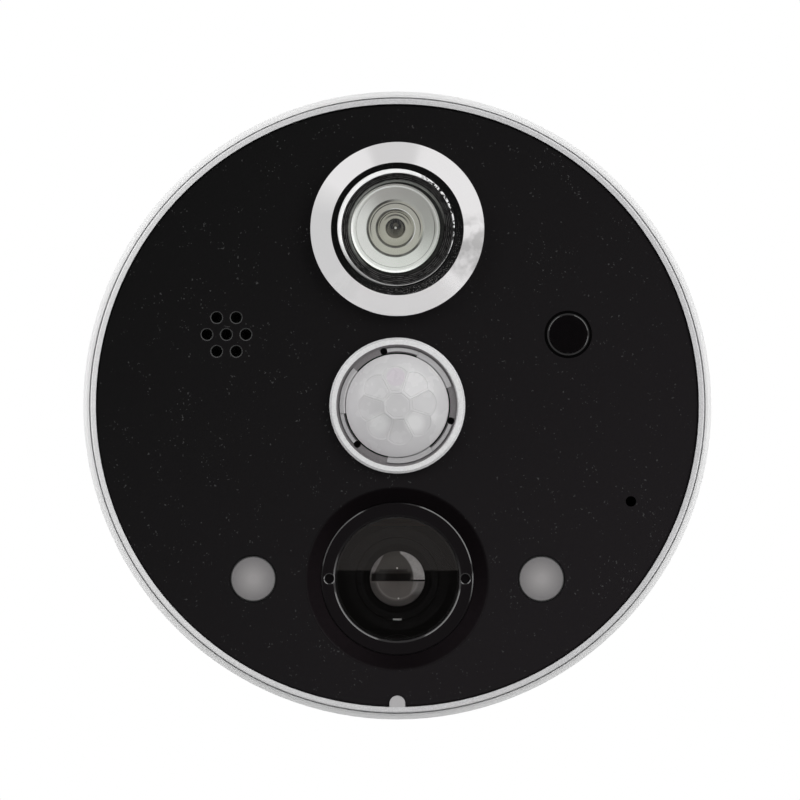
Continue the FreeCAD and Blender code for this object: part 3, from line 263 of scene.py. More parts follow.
def silver_paint():
    """Silver paint with a fine metallic grain, which stops short of the black plastic inside."""
    finish = Finish("silver metallic paint")
    grain = finish.grain(0.16)
    broad = finish.grain(1.4)
    depth = finish.depth()
    from_middle = finish.reach(*BODY)
    # Black plastic on the walls inside; the notches beside the detector are painted black, as painted shade
    # in their gaps
    inside = from_middle.under(31.5, 0.02) * depth.between(1.45, 13.85, 0.02)
    for bearing in NOTCH_BEARINGS:
        notch = (NOTCH_REACH * math.cos(bearing * DEGREE), NOTCH_REACH * math.sin(bearing * DEGREE))
        inside = inside.laid(finish.reach(*notch).under(0.37, 0.02) * depth.over(12.0, 0.1), 1.0)
    # The key at the lowest edge of the plate, and painted light and shade on the detector's collar, the
    # edge's left part and the outer rim
    key = abs(finish.part("X")).under(0.86, 0.02) * finish.part("Z").under(-30.0, 0.02)
    key = key * from_middle.under(31.6, 0.02)
    from_detector = finish.reach(*DETECTOR)
    # Painted sheen: the collar's polished crest is paler
    crest = from_detector.under(CREST_RADIUS, 0.02) * depth.over(15.57, 0.02)
    # Painted shade: the collar's inner slope and ledge are darker
    slope = from_detector.under(6.45, 0.03) * depth.between(14.0, 15.57, 0.02)
    # Painted light: the edge and the rim are paler at the left
    left = finish.toward(*BODY, LEFT + 2).over(0.45, 0.8) * from_middle.over(25.0, 1.0) * depth.over(2.0, 2.0)
    # Painted light: the outer rim is near white, for the light that its rounded edge catches
    rim = from_middle.over(BODY_RADIUS - 1.0, 0.1) * depth.under(6.0, 0.2)
    colour = finish.mix(grain, (0.50, 0.495, 0.50), (0.82, 0.82, 0.83))
    colour = finish.mix(left, colour, finish.mix(grain, (0.72, 0.715, 0.72), grey(0.97)))
    colour = finish.mix(crest, colour, finish.mix(grain, (0.70, 0.695, 0.70), grey(0.98)))
    colour = finish.mix(slope, colour, finish.mix(grain, (0.17, 0.16, 0.165), (0.27, 0.26, 0.265)))
    colour = finish.mix(key, colour, (0.50, 0.49, 0.495))
    colour = finish.mix(rim, colour, finish.mix(left, grey(0.70), grey(0.88)))
    colour = finish.mix(inside, colour, (0.0020, 0.0018, 0.0020))
    return finish.surface(
        colour, broad * 0.08 + 0.36, grain, 0.004,
        Metallic=(1.0 - inside) * (0.55 - rim * 0.40), Specular_IOR_Level=0.35,
    )


def viewer_metal():
    """Satin plated metal turned on a lathe, with a painted dark reflection and glints in the recess round the
    lens ring.
    """
    finish = Finish("satin plated viewer")
    reach = finish.reach(*VIEWER)
    depth = finish.depth()
    lines = (reach * 70.0 + finish.grain(2.0) * 3.0).wave() * 0.5 + 0.5
    recess = reach.under(6.96, 0.03) * depth.over(15.2, 0.05)
    rough = finish.grain(0.11)
    # Painted glints: pale specks in the recess, denser towards the lower right
    light_toward_lower_right = finish.toward(*VIEWER, BOTTOM + 30).over(0.5, 1.0) * 0.10
    dark_reflection_with_glints = finish.mix((rough + light_toward_lower_right).over(0.70, 0.06), grey(0.004), (0.30, 0.29, 0.29))
    flange = depth.over(14.7, 0.1)
    # Painted shade on the left of the flange
    shade_at_left = finish.toward(*VIEWER, LEFT + 12).over(0.80, 0.25) * flange
    scuffed = finish.toward(*VIEWER, RIGHT - 14).over(0.93, 0.08) * flange
    scuffed = scuffed * finish.grain(1.6).over(0.47, 0.20)
    bright = finish.mix(finish.grain(3.0), (0.96, 0.94, 0.945), (0.99, 0.98, 0.985))
    bright = finish.mix(shade_at_left, bright, (0.74, 0.735, 0.74))
    bright = finish.mix(scuffed, bright, (0.66, 0.65, 0.65))
    return finish.surface(
        finish.mix(recess, bright, dark_reflection_with_glints),
        recess * 0.30 + (lines * 0.015 + finish.grain(1.2) * 0.04 + 0.07),
        lines * 0.25 + rough * recess, 0.0010, Metallic=1.0 - recess, Specular_IOR_Level=0.15,
    )


def plated_can():
    """Plated metal of the small cans, with black felt over the microphone's port."""
    finish = Finish("plated can")
    fine = finish.grain(0.15)
    felt = finish.reach(*MICROPHONE).under(1.4, 0.05)
    colour = finish.mix(fine, (0.50, 0.49, 0.46), (0.62, 0.61, 0.58))
    colour = finish.mix(felt, colour, grey(0.002))
    return finish.surface(colour, felt * 0.6 + 0.28, fine, 0.002, Metallic=1.0 - felt)


def ring_black():
    """Black anodised ring with painted highlights on its turned lines and on its crest, broken at the right
    and dim below.
    """
    finish = Finish("black ring with a painted highlight on its crest")
    reach = finish.reach(*VIEWER)
    # Painted highlight on the crest, broken up at the right and fading below
    highlight_gaps_right = finish.toward(*VIEWER, RIGHT + 10).over(0.62, 0.2) * finish.grain(0.35).under(0.50, 0.05)
    dim = finish.toward(*VIEWER, BOTTOM + 5).over(0.35, 0.5) * 0.72
    crest = reach.over(5.80, 0.03) * finish.depth().over(15.75, 0.04) * (1.0 - highlight_gaps_right) * (1.0 - dim)
    # Pale lines painted along the turning, for the light that its fine steps catch
    lines = (reach * 34.0 + finish.grain(1.5) * 2.0).wave().over(0.75, 0.3)
    lines = lines * finish.grain(0.5).over(0.45, 0.2)
    # Painted light: the lowest steps are paler towards the upper left
    lowest_steps = reach.between(4.80, 5.14, 0.06) * finish.toward(*VIEWER, TOP + 30).over(0.0, 0.9)
    lowest_steps = lowest_steps * (finish.grain(0.3) * 0.5 + 0.45)
    colour = finish.mix(finish.grain(0.12), (0.0012, 0.0010, 0.0010), (0.006, 0.0055, 0.0055))
    colour = finish.mix(lines, colour, (0.12, 0.117, 0.115))
    colour = finish.mix(lowest_steps, colour, (0.26, 0.27, 0.25))
    colour = finish.mix(crest, colour, grey(0.84))
    return finish.surface(
        colour, (1.0 - crest) * 0.10 + finish.grain(0.2) * 0.08 + 0.16, Specular_IOR_Level=0.1,
    )


def clear_glass():
    """Clear glass: a mirror as faint as a glass surface is, over what lies under it."""
    finish = Finish("clear glass")
    faint = finish.node("ShaderNodeFresnel", {}, IOR=1.5)
    return finish.surface(
        (0.95, 0.96, 0.95), finish.grain(2.5) * 0.01 + 0.01, Metallic=1.0,
        Alpha=faint + finish.grain(0.3).over(0.72, 0.05) * 0.01,
    )


def window_glass():
    """The camera's polished cover glass, smooth enough to mirror a straight edge."""
    finish = Finish("camera cover glass")
    faint = finish.node("ShaderNodeFresnel", {}, IOR=1.5)
    return finish.surface((0.98, 0.90, 0.86), 0.0, Metallic=1.0, Alpha=faint)


def camera_ring_black():
    """Black plastic of the camera's ring, glossy on its bevel, its outer edge and round its two holes."""
    finish = Finish("black camera ring")
    reach = finish.reach(*CAMERA)
    fine = finish.grain(0.12)
    upper = finish.toward(*CAMERA, TOP).over(-0.15, 0.35) * finish.toward(*CAMERA, TOP + 10).under(0.96, 0.04)
    upper = upper * (1.0 - finish.toward(*CAMERA, LEFT).over(0.6, 0.5) * 0.6)
    lower = finish.toward(*CAMERA, TOP).under(0.15, 0.5) * 0.9 + 0.1
    glossy = (reach.under(6.74, 0.02) * lower).laid(reach.over(7.84, 0.02), upper)
    for side in (-1, 1):
        hole = finish.reach(CAMERA[0] + side * SPANNER_HOLE_REACH, CAMERA[1])
        glossy = glossy.laid(hole.between(0.49, 0.62, 0.02), 1.0)
    colour = finish.mix(fine, (0.0026, 0.0018, 0.0023), (0.0042, 0.0031, 0.0037))
    return finish.surface(
        colour, 0.45, fine, 0.002, Specular_IOR_Level=0.08, Coat_Weight=glossy, Coat_Roughness=0.10,
    )


def lens_barrel_black():
    """Black lens barrel with faint turned lines on its lower half and a painted glint on its lowest edge."""
    finish = Finish("black lens barrel")
    across, up = LENS
    reach = finish.reach(across, up)
    lines = (reach * 12.0).wave().over(0.92, 0.1) * (up - finish.part("Z")).over(-0.5, 0.5)
    # A painted glint on the barrel's lowest edge
    painted_glint = reach.between(4.20, 4.38, 0.04) * abs(finish.part("X") - across).under(0.45, 0.06)
    painted_glint = painted_glint * finish.part("Z").under(up, 0.1)
    colour = finish.mix(lines, (0.0006, 0.0005, 0.0006), (0.005, 0.004, 0.005))
    colour = finish.mix(painted_glint, colour, grey(0.9))
    return finish.surface(colour, 0.4 + painted_glint * 0.1, Specular_IOR_Level=0.08)


def lens_with_painted_reflections():
    """The camera's dark lens, with the room's reflection painted on it: greyer above and below a dark band,
    with highlights and glints.
    """
    finish = Finish("camera lens with painted reflections")
    across = finish.part("X") - LENS[0]
    rise = finish.part("Z") - LENS[1]
    reach = finish.reach(*LENS)
    low = rise.under(-0.4, 0.3)
    # Painted reflection of the room: greyer above and below the middle
    painted_reflection = finish.mix(rise.over(0.0, 0.6), (0.22, 0.200, 0.188), (0.083, 0.077, 0.069))
    painted_reflection = finish.mix(reach.between(2.05, 2.20, 0.08) * low, painted_reflection, (0.30, 0.28, 0.27))
    painted_reflection = finish.mix(reach.over(2.30, 0.20) * low, painted_reflection, (0.13, 0.12, 0.115))

    # Painted highlights at the upper left and on the right, streaked
    highlight_streaks = finish.grain(0.45) * 0.6 + 0.35
    left = (rise * 0.52 - across).over(2.74, 0.14) * rise.over(0.05, 0.3)
    crescent = finish.reach(LENS[0] - 1.5, LENS[1]).over(3.2, 0.16) * across.over(0.3, 0.2)
    right = crescent * (rise.over(-0.12, 0.05) + rise.between(-1.5, -0.2, 0.5) * 0.3)
    painted_reflection = finish.mix(left * highlight_streaks, painted_reflection, (0.42, 0.40, 0.40))
    painted_reflection = finish.mix(right * (highlight_streaks + 0.1), painted_reflection, (0.82, 0.80, 0.79))

    # Painted reflection of the dim room: a dark band, the shade above it and a dark line at its lower right
    band = rise.over(-0.28, 0.08) * rise.under(0.62, 0.35) * across.between(-2.75, 1.45, 0.25)
    shade = rise.between(0.68, 1.0, 0.05) * across.between(-1.9, 1.1, 0.15)
    line = rise.between(-0.28, -0.10, 0.05) * across.over(1.4, 0.1)
    colour = finish.mix(band, painted_reflection, (0.012, 0.010, 0.010))
    colour = finish.mix(shade, colour, (0.045, 0.040, 0.038))
    colour = finish.mix(line, colour, (0.003, 0.002, 0.002))
    # Two painted glints
    for side, height in ((-0.02, 1.10), (0.12, -2.08)):
        glint = finish.reach(LENS[0] + side, LENS[1] + height).under(0.09, 0.05)
        colour = finish.mix(glint, colour, (0.9, 0.88, 0.86))
    return finish.surface(colour, finish.grain(1.0) * 0.02 + 0.04, Specular_IOR_Level=0.1)


def ground_glass():
    """The ground steps of the glass under the viewer's front lens, with painted shade and highlights on their
    edges and a painted glow.
    """
    finish = Finish("greenish ground glass")
    across, up = GLASS
    reach = finish.reach(across, up)
    height = ((finish.part("Z") - up) / 9.0 + 0.5) + (finish.grain(3.0) - 0.5) * 0.3

    def arc_line(radius, width, bearing, spread, soft):
        """A mask of a thin arc that fades out away from a bearing."""
        ring = ((reach - radius) / width) ** 2
        return ring.under(1.0, 1.2) * finish.toward(across, up, bearing).over(spread, soft)

    # Painted light: paler towards the bottom, where the light from above falls into the steps, and paler
    # again at the left
    colour = finish.mix(height, (0.72, 0.77, 0.71), (0.45, 0.435, 0.42))
    left = finish.toward(across, up, LEFT + 15).over(0.55, 0.5) * reach.between(3.1, 4.2, 0.4)
    colour = finish.mix(left * 0.7, colour, (0.68, 0.67, 0.67))
    middle = finish.mix(height, (0.66, 0.67, 0.58), (0.44, 0.425, 0.39))
    colour = finish.mix(reach.under(2.88, 0.08), colour, middle)
    inner = finish.mix(height, (0.52, 0.52, 0.43), (0.30, 0.29, 0.25))
    colour = finish.mix(reach.under(1.92, 0.06), colour, inner)
    # Painted shade along dark arcs at the steps' edges, fading away from each arc's bearing
    for radius, width, bearing, spread in (
        (2.92, 0.13, 215, -0.55), (2.62, 0.06, 90, -0.2), (1.95, 0.13, 200, -0.8),
        (1.70, 0.05, 100, 0.2), (1.40, 0.09, 80, 0.60), (4.12, 0.05, 260, -0.5),
    ):
        rough = finish.grain(0.9) * 0.5 + 0.6
        dark = arc_line(radius, width, bearing, spread, 0.5) * rough
        colour = finish.mix(dark, colour, (0.045, 0.043, 0.037))
    # Painted highlights along two light arcs
    for radius, width, bearing, spread in ((4.40, 0.09, 200, -1.5), (2.06, 0.04, 30, 0.2)):
        light = arc_line(radius, width, bearing, spread, 0.4)
        colour = finish.mix(light, colour, (0.86, 0.87, 0.85))

    outer_step = reach.between(3.05, 4.46, 0.12)
    # Painted shade on the right of the outer step
    right = finish.toward(across, up, RIGHT).over(0.3, 1.0) * outer_step
    colour = finish.mix(right * 0.35, colour, (0.30, 0.30, 0.28))
    frosted = finish.mix(finish.grain(0.25), (0.010, 0.010, 0.009), (0.035, 0.036, 0.034))
    colour = finish.mix(reach.over(4.66, 0.05), colour, frosted)

    # Painted glow, for the light that comes through the viewer from indoors: stronger on the lower left of
    # the outer step, with a painted highlight along the lens's edge there
    low_left = finish.toward(across, up, LEFT + 55).over(-0.1, 0.9)
    edge = reach.between(4.46, 4.66, 0.06) * finish.toward(across, up, LEFT + 52).over(0.35, 0.6)
    glow = finish.mix(0.63, colour, grey(0))
    glow = finish.mix(outer_step * low_left, glow, (0.45, 0.46, 0.44))
    glow = finish.mix(edge, glow, (0.95, 0.96, 0.94))
    return finish.surface(
        colour, finish.grain(0.4) * 0.1 + 0.14, Emission_Color=glow, Emission_Strength=0.9,
    )


def pupil_glass():
    """The dark glass in the viewer's middle, with a darker hook in its upper half."""
    finish = Finish("olive pupil glass")
    across, up = GLASS
    reach = finish.reach(across, up)
    hook = finish.reach(across + 0.02, up + 0.30).between(0.26, 0.62, 0.14)
    hook = hook * finish.toward(across, up, BOTTOM).under(0.2, 0.5)
    edge = reach.over(0.84, 0.10) * finish.toward(across, up, TOP - 10).over(-0.2, 0.6)
    glint = finish.reach(across + 0.02, up + 0.04).under(0.13, 0.05)
    colour = finish.mix((reach / 1.05) ** 2, (0.060, 0.057, 0.042), (0.26, 0.25, 0.20))
    colour = finish.mix(hook, colour, (0.004, 0.0035, 0.003))
    colour = finish.mix(edge, colour, (0.006, 0.0055, 0.0045))
    colour = finish.mix(glint, colour, (0.9, 0.9, 0.88))
    return finish.surface(colour, 0.10 + finish.grain(0.5) * 0.05, Specular_IOR_Level=0.06)


def milky_dome():
    """Milky plastic of the detector's lens with a tinted facet; painted light on its lower left and two
    facets, painted shade on its lock tabs.
    """
    finish = Finish("milky lens plastic")
    cloud = finish.grain(1.8)
    reach = finish.reach(*DETECTOR)
    # Painted light: the outer zone is paler at the lower left
    low = finish.toward(*DETECTOR, LEFT + 45).over(0.3, 1.0) * reach.over(3.2, 2.4) * reach.under(5.42, 0.05)
    top_facet = finish.reach(DETECTOR[0], DETECTOR[1] + 3.0).under(0.95, 0.06)
    # Painted shade: the lock tabs are darker
    tabs = reach.over(5.48, 0.02)
    colour = finish.mix(cloud, (0.43, 0.42, 0.43), grey(0.49))
    colour = finish.mix(low, colour, (0.54, 0.53, 0.54))
    # Painted highlights on the two lower facets
    for side, height in ((2.0, -1.75), (-1.75, -1.85)):
        pale = finish.reach(DETECTOR[0] + side, DETECTOR[1] + height).under(0.95, 0.7)
        colour = finish.mix(pale * 0.8, colour, grey(0.60))
    colour = finish.mix(top_facet, colour, (0.46, 0.43, 0.46))
    colour = finish.mix(tabs, colour, (0.36, 0.355, 0.36))
    return finish.surface(
        colour, cloud * 0.06 + 0.24, finish.grain(0.2), 0.0010, Coat_Weight=0.15, Coat_Roughness=0.12,
        Specular_IOR_Level=0.35,
    )


def frosted_window():
    """Frosted smoke-grey plastic, paler in front of the lamp behind it."""
    finish = Finish("frosted lamp window")
    reach = ((abs(finish.part("X")) - LAMP[0]) ** 2 + (finish.part("Z") - LAMP[1]) ** 2) ** 0.5
    fine = finish.grain(0.1)
    colour = finish.mix(reach.under(1.2, 1.6), (0.140, 0.134, 0.136), (0.238, 0.230, 0.229))
    colour = finish.mix(reach.over(2.25, 0.15), colour, grey(0.06))
    return finish.surface(colour, fine * 0.1 + 0.45, fine, 0.003)


def plain(name, dark, light, roughness, grain=0.2, bump=0.004, **sockets):
    """A plain finish with fine grain in its colour, gloss and surface."""
    finish = Finish(name)
    fine = finish.grain(grain)
    broad = finish.grain(grain * 9)
    return finish.surface(
        finish.mix(fine * 0.6 + broad * 0.4, dark, light), broad * 0.10 + (roughness - 0.05),
        fine, bump, **sockets,
    )


def plated(name, dark, light, roughness, bump=0.002):
    """A plain metal finish."""
    return plain(name, dark, light, roughness, 0.15, bump, Metallic=1.0)


def board():
    """Green lacquer, paler over the copper tracks and raised by them."""
    finish = Finish("circuit board lacquer")
    across = (finish.part("X") * 2.4).wave().over(0.55, 0.1)
    up = (finish.part("Z") * 2.9 + finish.grain(6.0) * 4).wave().over(0.6, 0.1)
    tracks = across * up
    colour = finish.mix(tracks, (0.012, 0.085, 0.035), (0.035, 0.20, 0.08))
    return finish.surface(colour, tracks * 0.1 + 0.25, tracks, 0.02, Coat_Weight=0.3)


def woven_mesh():
    """Fine black wire cloth over the speaker."""
    finish = Finish("black wire cloth")
    weave = (finish.part("X") * 22.0).wave() * (finish.part("Z") * 22.0).wave()
    holes = weave.over(0.2, 0.2)
    colour = finish.mix(holes, grey(0.012), grey(0.002))
    return finish.surface(colour, holes * 0.3 + 0.4, weave * 0.5 + 0.5, 0.03, Metallic=0.4)


FINISHES = {
    "silver_housing": silver_paint(),
    "black_plate": black_plate(),
    "black_rubber": plain("black rubber", (0.0030, 0.0028, 0.0030), (0.0065, 0.0062, 0.0065), 0.75),
    "grey_rubber": plain("grey rubber", (0.52, 0.52, 0.53), (0.62, 0.62, 0.63), 0.6),
    "screw_steel": plated("plated steel", (0.52, 0.52, 0.53), (0.66, 0.66, 0.67), 0.30),
    "viewer_metal": viewer_metal(),
    "viewer_black": ring_black(),
    "clear_glass": clear_glass(),
    "milky_plastic": milky_dome(),
    "frosted_plastic": frosted_window(),
    "lamp_resin": plain("lamp resin", (0.10, 0.10, 0.12), (0.15, 0.15, 0.17), 0.15),
    "sensor_can": plated_can(),
    "sensor_filter": plain("dark filter", (0.03, 0.02, 0.03), (0.05, 0.04, 0.05), 0.12),
    "white_plastic": plain("white nylon", (0.66, 0.65, 0.60), (0.74, 0.73, 0.69), 0.5),
    "camera_black": plain(
        "dead black plastic", (0.0022, 0.0018, 0.0022), (0.0038, 0.0030, 0.0036), 0.42, 0.12, 0.002,
        Specular_IOR_Level=0.14,
    ),
    "chip_black": plain("chip epoxy", (0.012, 0.012, 0.014), (0.022, 0.022, 0.025), 0.35),
    "board_green": board(),
    "flex_amber": plain("amber film", (0.15, 0.065, 0.012), (0.22, 0.10, 0.02), 0.3),
    "mesh_steel": woven_mesh(),
    "magnet_steel": plated("nickel plate", (0.48, 0.47, 0.45), (0.60, 0.59, 0.57), 0.25),
    "copper": plated("copper wire", (0.62, 0.28, 0.14), (0.75, 0.38, 0.20), 0.3, 0.01),
    "cone_film": plain("cone film", (0.42, 0.42, 0.38), (0.52, 0.52, 0.48), 0.25),
    "button_black": plain(
        "gloss black plastic", (0.0010, 0.0007, 0.0009), (0.0018, 0.0013, 0.0016), 0.10, 0.4, 0.0006,
    ),
}
for subpart in frame["record"]["subparts"]:
    solid = frame["nodes"][subpart["node"]]
    solid.data.materials.clear()
    solid.data.materials.append(FINISHES[subpart["material_slot"]])


def deselect():
    """Leaves nothing selected, so that the next operator acts on its own piece alone."""
    bpy.ops.object.select_all(action="DESELECT")


def settle():
    """Puts the selected piece's place, turn and size into its mesh."""
    bpy.ops.object.transform_apply(location=True, rotation=True, scale=True)


def edit(action):
    """Runs an action on the piece at hand in edit mode, with all of it selected."""
    bpy.ops.object.mode_set(mode="EDIT")
    bpy.ops.mesh.select_all(action="SELECT")
    action()
    bpy.ops.object.mode_set(mode="OBJECT")


def cut_out(piece, tool, name):
    """Cuts a tool out of a piece, and removes the tool."""
    deselect()
    bpy.context.view_layer.objects.active = piece
    cut = piece.modifiers.new(name, "BOOLEAN")
    cut.object = tool
    cut.operation = "DIFFERENCE"
    bpy.ops.object.modifier_apply(modifier=cut.name)
    bpy.data.objects.remove(tool)


def finished(made, name, slot, body, *replaced, angle=32):
    """Names a piece, turns its faces outwards, and gives it a finish, a body and the nodes it stands for."""
    deselect()
    made.select_set(True)
    bpy.context.view_layer.objects.active = made
    settle()
    edit(lambda: (
        bpy.ops.mesh.remove_doubles(threshold=0.001 * MM),
        bpy.ops.mesh.normals_make_consistent(inside=False),
    ))
    bpy.ops.object.shade_smooth_by_angle(angle=math.radians(angle))
    made.name = name
    made.data.name = name
    made.data.materials.clear()
    made.data.materials.append(FINISHES[slot])
    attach(made, body)
    if replaced:
        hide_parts(*replaced)
    made.select_set(False)


def turned(place, profile, sides=96, ring=True):
    """A turned shape: a circle that is extruded and resized through its (radius, depth) corners.

    A ring's last corner is joined to its first. Otherwise both ends are closed flat.
    """
    across, up = place
    radius, depth = profile[0]
    deselect()
    bpy.ops.mesh.primitive_circle_add(
        vertices=sides, radius=radius * MM, location=(across * MM, -depth * MM, up * MM),
        rotation=(math.pi / 2, 0, 0),
    )
    made = bpy.context.object
    settle()
    bpy.ops.object.mode_set(mode="EDIT")
    bpy.ops.mesh.select_mode(type="EDGE")
    bpy.ops.mesh.select_all(action="SELECT")
    for next_radius, next_depth in profile[1:]:
        bpy.ops.mesh.extrude_edges_move(
            TRANSFORM_OT_translate={"value": (0, (depth - next_depth) * MM, 0)}
        )
        share = next_radius / radius
        bpy.ops.transform.resize(
            value=(share, 1, share), center_override=(across * MM, -next_depth * MM, up * MM)
        )
        radius, depth = next_radius, next_depth
    bpy.ops.mesh.select_all(action="DESELECT")
    bpy.ops.mesh.select_non_manifold()
    if ring:
        bpy.ops.mesh.bridge_edge_loops()
    else:
        bpy.ops.mesh.fill_holes(sides=0)
    bpy.ops.object.mode_set(mode="OBJECT")
    return made


# How small a turned shape's end circle gets at its axis
POLE = 0.02


def arc(start, end, radius, steps):
    """Corners along an arc between two (radius, depth) corners, without its first.

    From an edge to a place further forward and nearer the axis, it sags towards the door.
    """
    (first_across, first_up), (last_across, last_up) = start, end
    chord = math.hypot(last_across - first_across, last_up - first_up)
    rise = math.sqrt(radius ** 2 - chord ** 2 / 4)
    middle = ((first_across + last_across) / 2, (first_up + last_up) / 2)
    sag = ((first_up - last_up) / chord, (last_across - first_across) / chord)
    centre = (middle[0] - sag[0] * rise, middle[1] - sag[1] * rise)
    first = math.atan2(first_up - centre[1], first_across - centre[0])
    last = math.atan2(last_up - centre[1], last_across - centre[0])
    sweep = (last - first + math.pi) % (2 * math.pi) - math.pi
    bearings = [first + sweep * step / steps for step in range(1, steps + 1)]
    return [
        (max(centre[0] + radius * math.cos(bearing), POLE), centre[1] + radius * math.sin(bearing))
        for bearing in bearings
    ]


def shifted(made, place, reach, depths, drift):
    """Moves the corners that lie within two reaches and two depths of a turned piece sideways."""
    for corner in made.data.vertices:
        across = corner.co.x / MM - place[0]
        up = corner.co.z / MM - place[1]
        inside = reach[0] < math.hypot(across, up) < reach[1]
        if inside and depths[0] < -corner.co.y / MM < depths[1]:
            corner.co.x += drift[0] * MM
            corner.co.z += drift[1] * MM


def viewer_barrel():
    """The viewer's flanged barrel with the turns of its inner thread."""
    end, thread_floor, lens_seat, recess_floor, crown = -30.0, -8.0, 2.25, 15.5, 16.40
    waist, bore, lens_bore, recess, tube, neck, flange = 5.2, 6.0, 6.2, 6.92, 7.0, 7.2, 9.13
    barrel = turned(VIEWER, [
        (bore, end), (tube - 0.4, end), (tube, end + 0.4), (tube, -0.5), (neck, -0.5), (neck, 14.8),
        (flange - 0.07, 14.8), (flange, 14.87), (flange, 15.88), (flange - 0.03, 15.92),
        (recess + 0.06, crown), (recess + 0.02, crown - 0.01), (recess, crown - 0.04),
        (recess, recess_floor), (lens_bore, recess_floor), (lens_bore, lens_seat),
        (waist, lens_seat), (waist, thread_floor), (bore, thread_floor),
    ], sides=192)
    finished(barrel, "viewer_barrel_turned", "viewer_metal", "housing", "viewer_barrel", angle=10)

    across, up = VIEWER
    ridge, first_turn, pitch, turns = 0.30, 8.4, 1.0, 21
    deselect()
    bpy.ops.mesh.primitive_circle_add(vertices=4, radius=ridge * MM, location=(across * MM, 0, up * MM))
    thread = bpy.context.object
    edit(lambda: (
        bpy.ops.mesh.edge_face_add(),
        bpy.ops.transform.translate(value=(bore * MM, first_turn * MM, 0)),
    ))
    screw = thread.modifiers.new("thread", "SCREW")
    screw.axis = "Y"
    screw.screw_offset = pitch * MM
    screw.iterations = turns
    screw.steps = 40
    screw.render_steps = 40
    bpy.ops.object.modifier_apply(modifier=screw.name)
    finished(thread, "viewer_thread_turns", "viewer_metal", "housing")


def viewer_ring():
    """The black ring in the viewer's mouth, whose crest and lowest steps sit a little off the middle."""
    lens_ring = turned(VIEWER, [
        (4.90, 14.4), (6.08, 14.4), (6.08, 15.55), (6.15, 15.62), (6.15, 15.98), (6.07, 16.05), (5.95, 16.05),
        (5.87, 15.98), (5.85, 15.60), (5.66, 15.56), (5.64, 15.38), (5.50, 15.35), (5.48, 15.18),
        (5.34, 15.15), (5.32, 15.0), (5.16, 14.97), (5.12, 14.82), (4.98, 14.80), (4.92, 14.72),
    ], sides=192)
    shifted(lens_ring, VIEWER, (6.0, 6.2), (15.58, 16.1), (-0.14, 0.15))
    for step, share in ((5.15, 1.0), (5.33, 0.8), (5.49, 0.6), (5.65, 0.4)):
        shifted(lens_ring, VIEWER, (step - 0.26, step + 0.02), (14.6, 15.5), (-0.05 * share, 0.02 * share))
    finished(lens_ring, "viewer_lens_ring_turned", "viewer_black", "housing", "viewer_lens_ring", angle=20)


def viewer_glass():
    """The viewer's front lens, the ground steps under it and the pupil in their middle."""
    edge = (4.6, 14.78)
    front_lens = turned(
        GLASS, [(4.84, 14.42), edge, *arc(edge, (POLE, 15.24), 24.0, 14)], sides=128, ring=False,
    )
    finished(front_lens, "viewer_objective_glass", "clear_glass", "housing", "viewer_objective_lens")

    steps = turned(GLASS, [
        (5.20, 12.1), (5.20, 14.34), (4.60, 14.38), (4.46, 14.26), (3.9, 14.05), (2.98, 13.80), (2.95, 13.66),
        (2.88, 13.62), (2.4, 13.50), (1.98, 13.42), (1.96, 13.32), (1.90, 13.30), (1.5, 13.18), (1.08, 13.10),
        (1.05, 12.8), (1.0, 12.1),
    ], sides=128)
    finished(steps, "viewer_ground_steps", "clear_glass", "housing", "viewer_objective_lens", angle=20)
    steps.data.materials[0] = ground_glass()

    pupil = turned(GLASS, [(1.02, 12.4), *arc((1.02, 12.7), (POLE, 12.95), 2.2, 8)], sides=64, ring=False)
    finished(pupil, "viewer_pupil", "clear_glass", "housing", "viewer_objective_lens")
    pupil.data.materials[0] = pupil_glass()


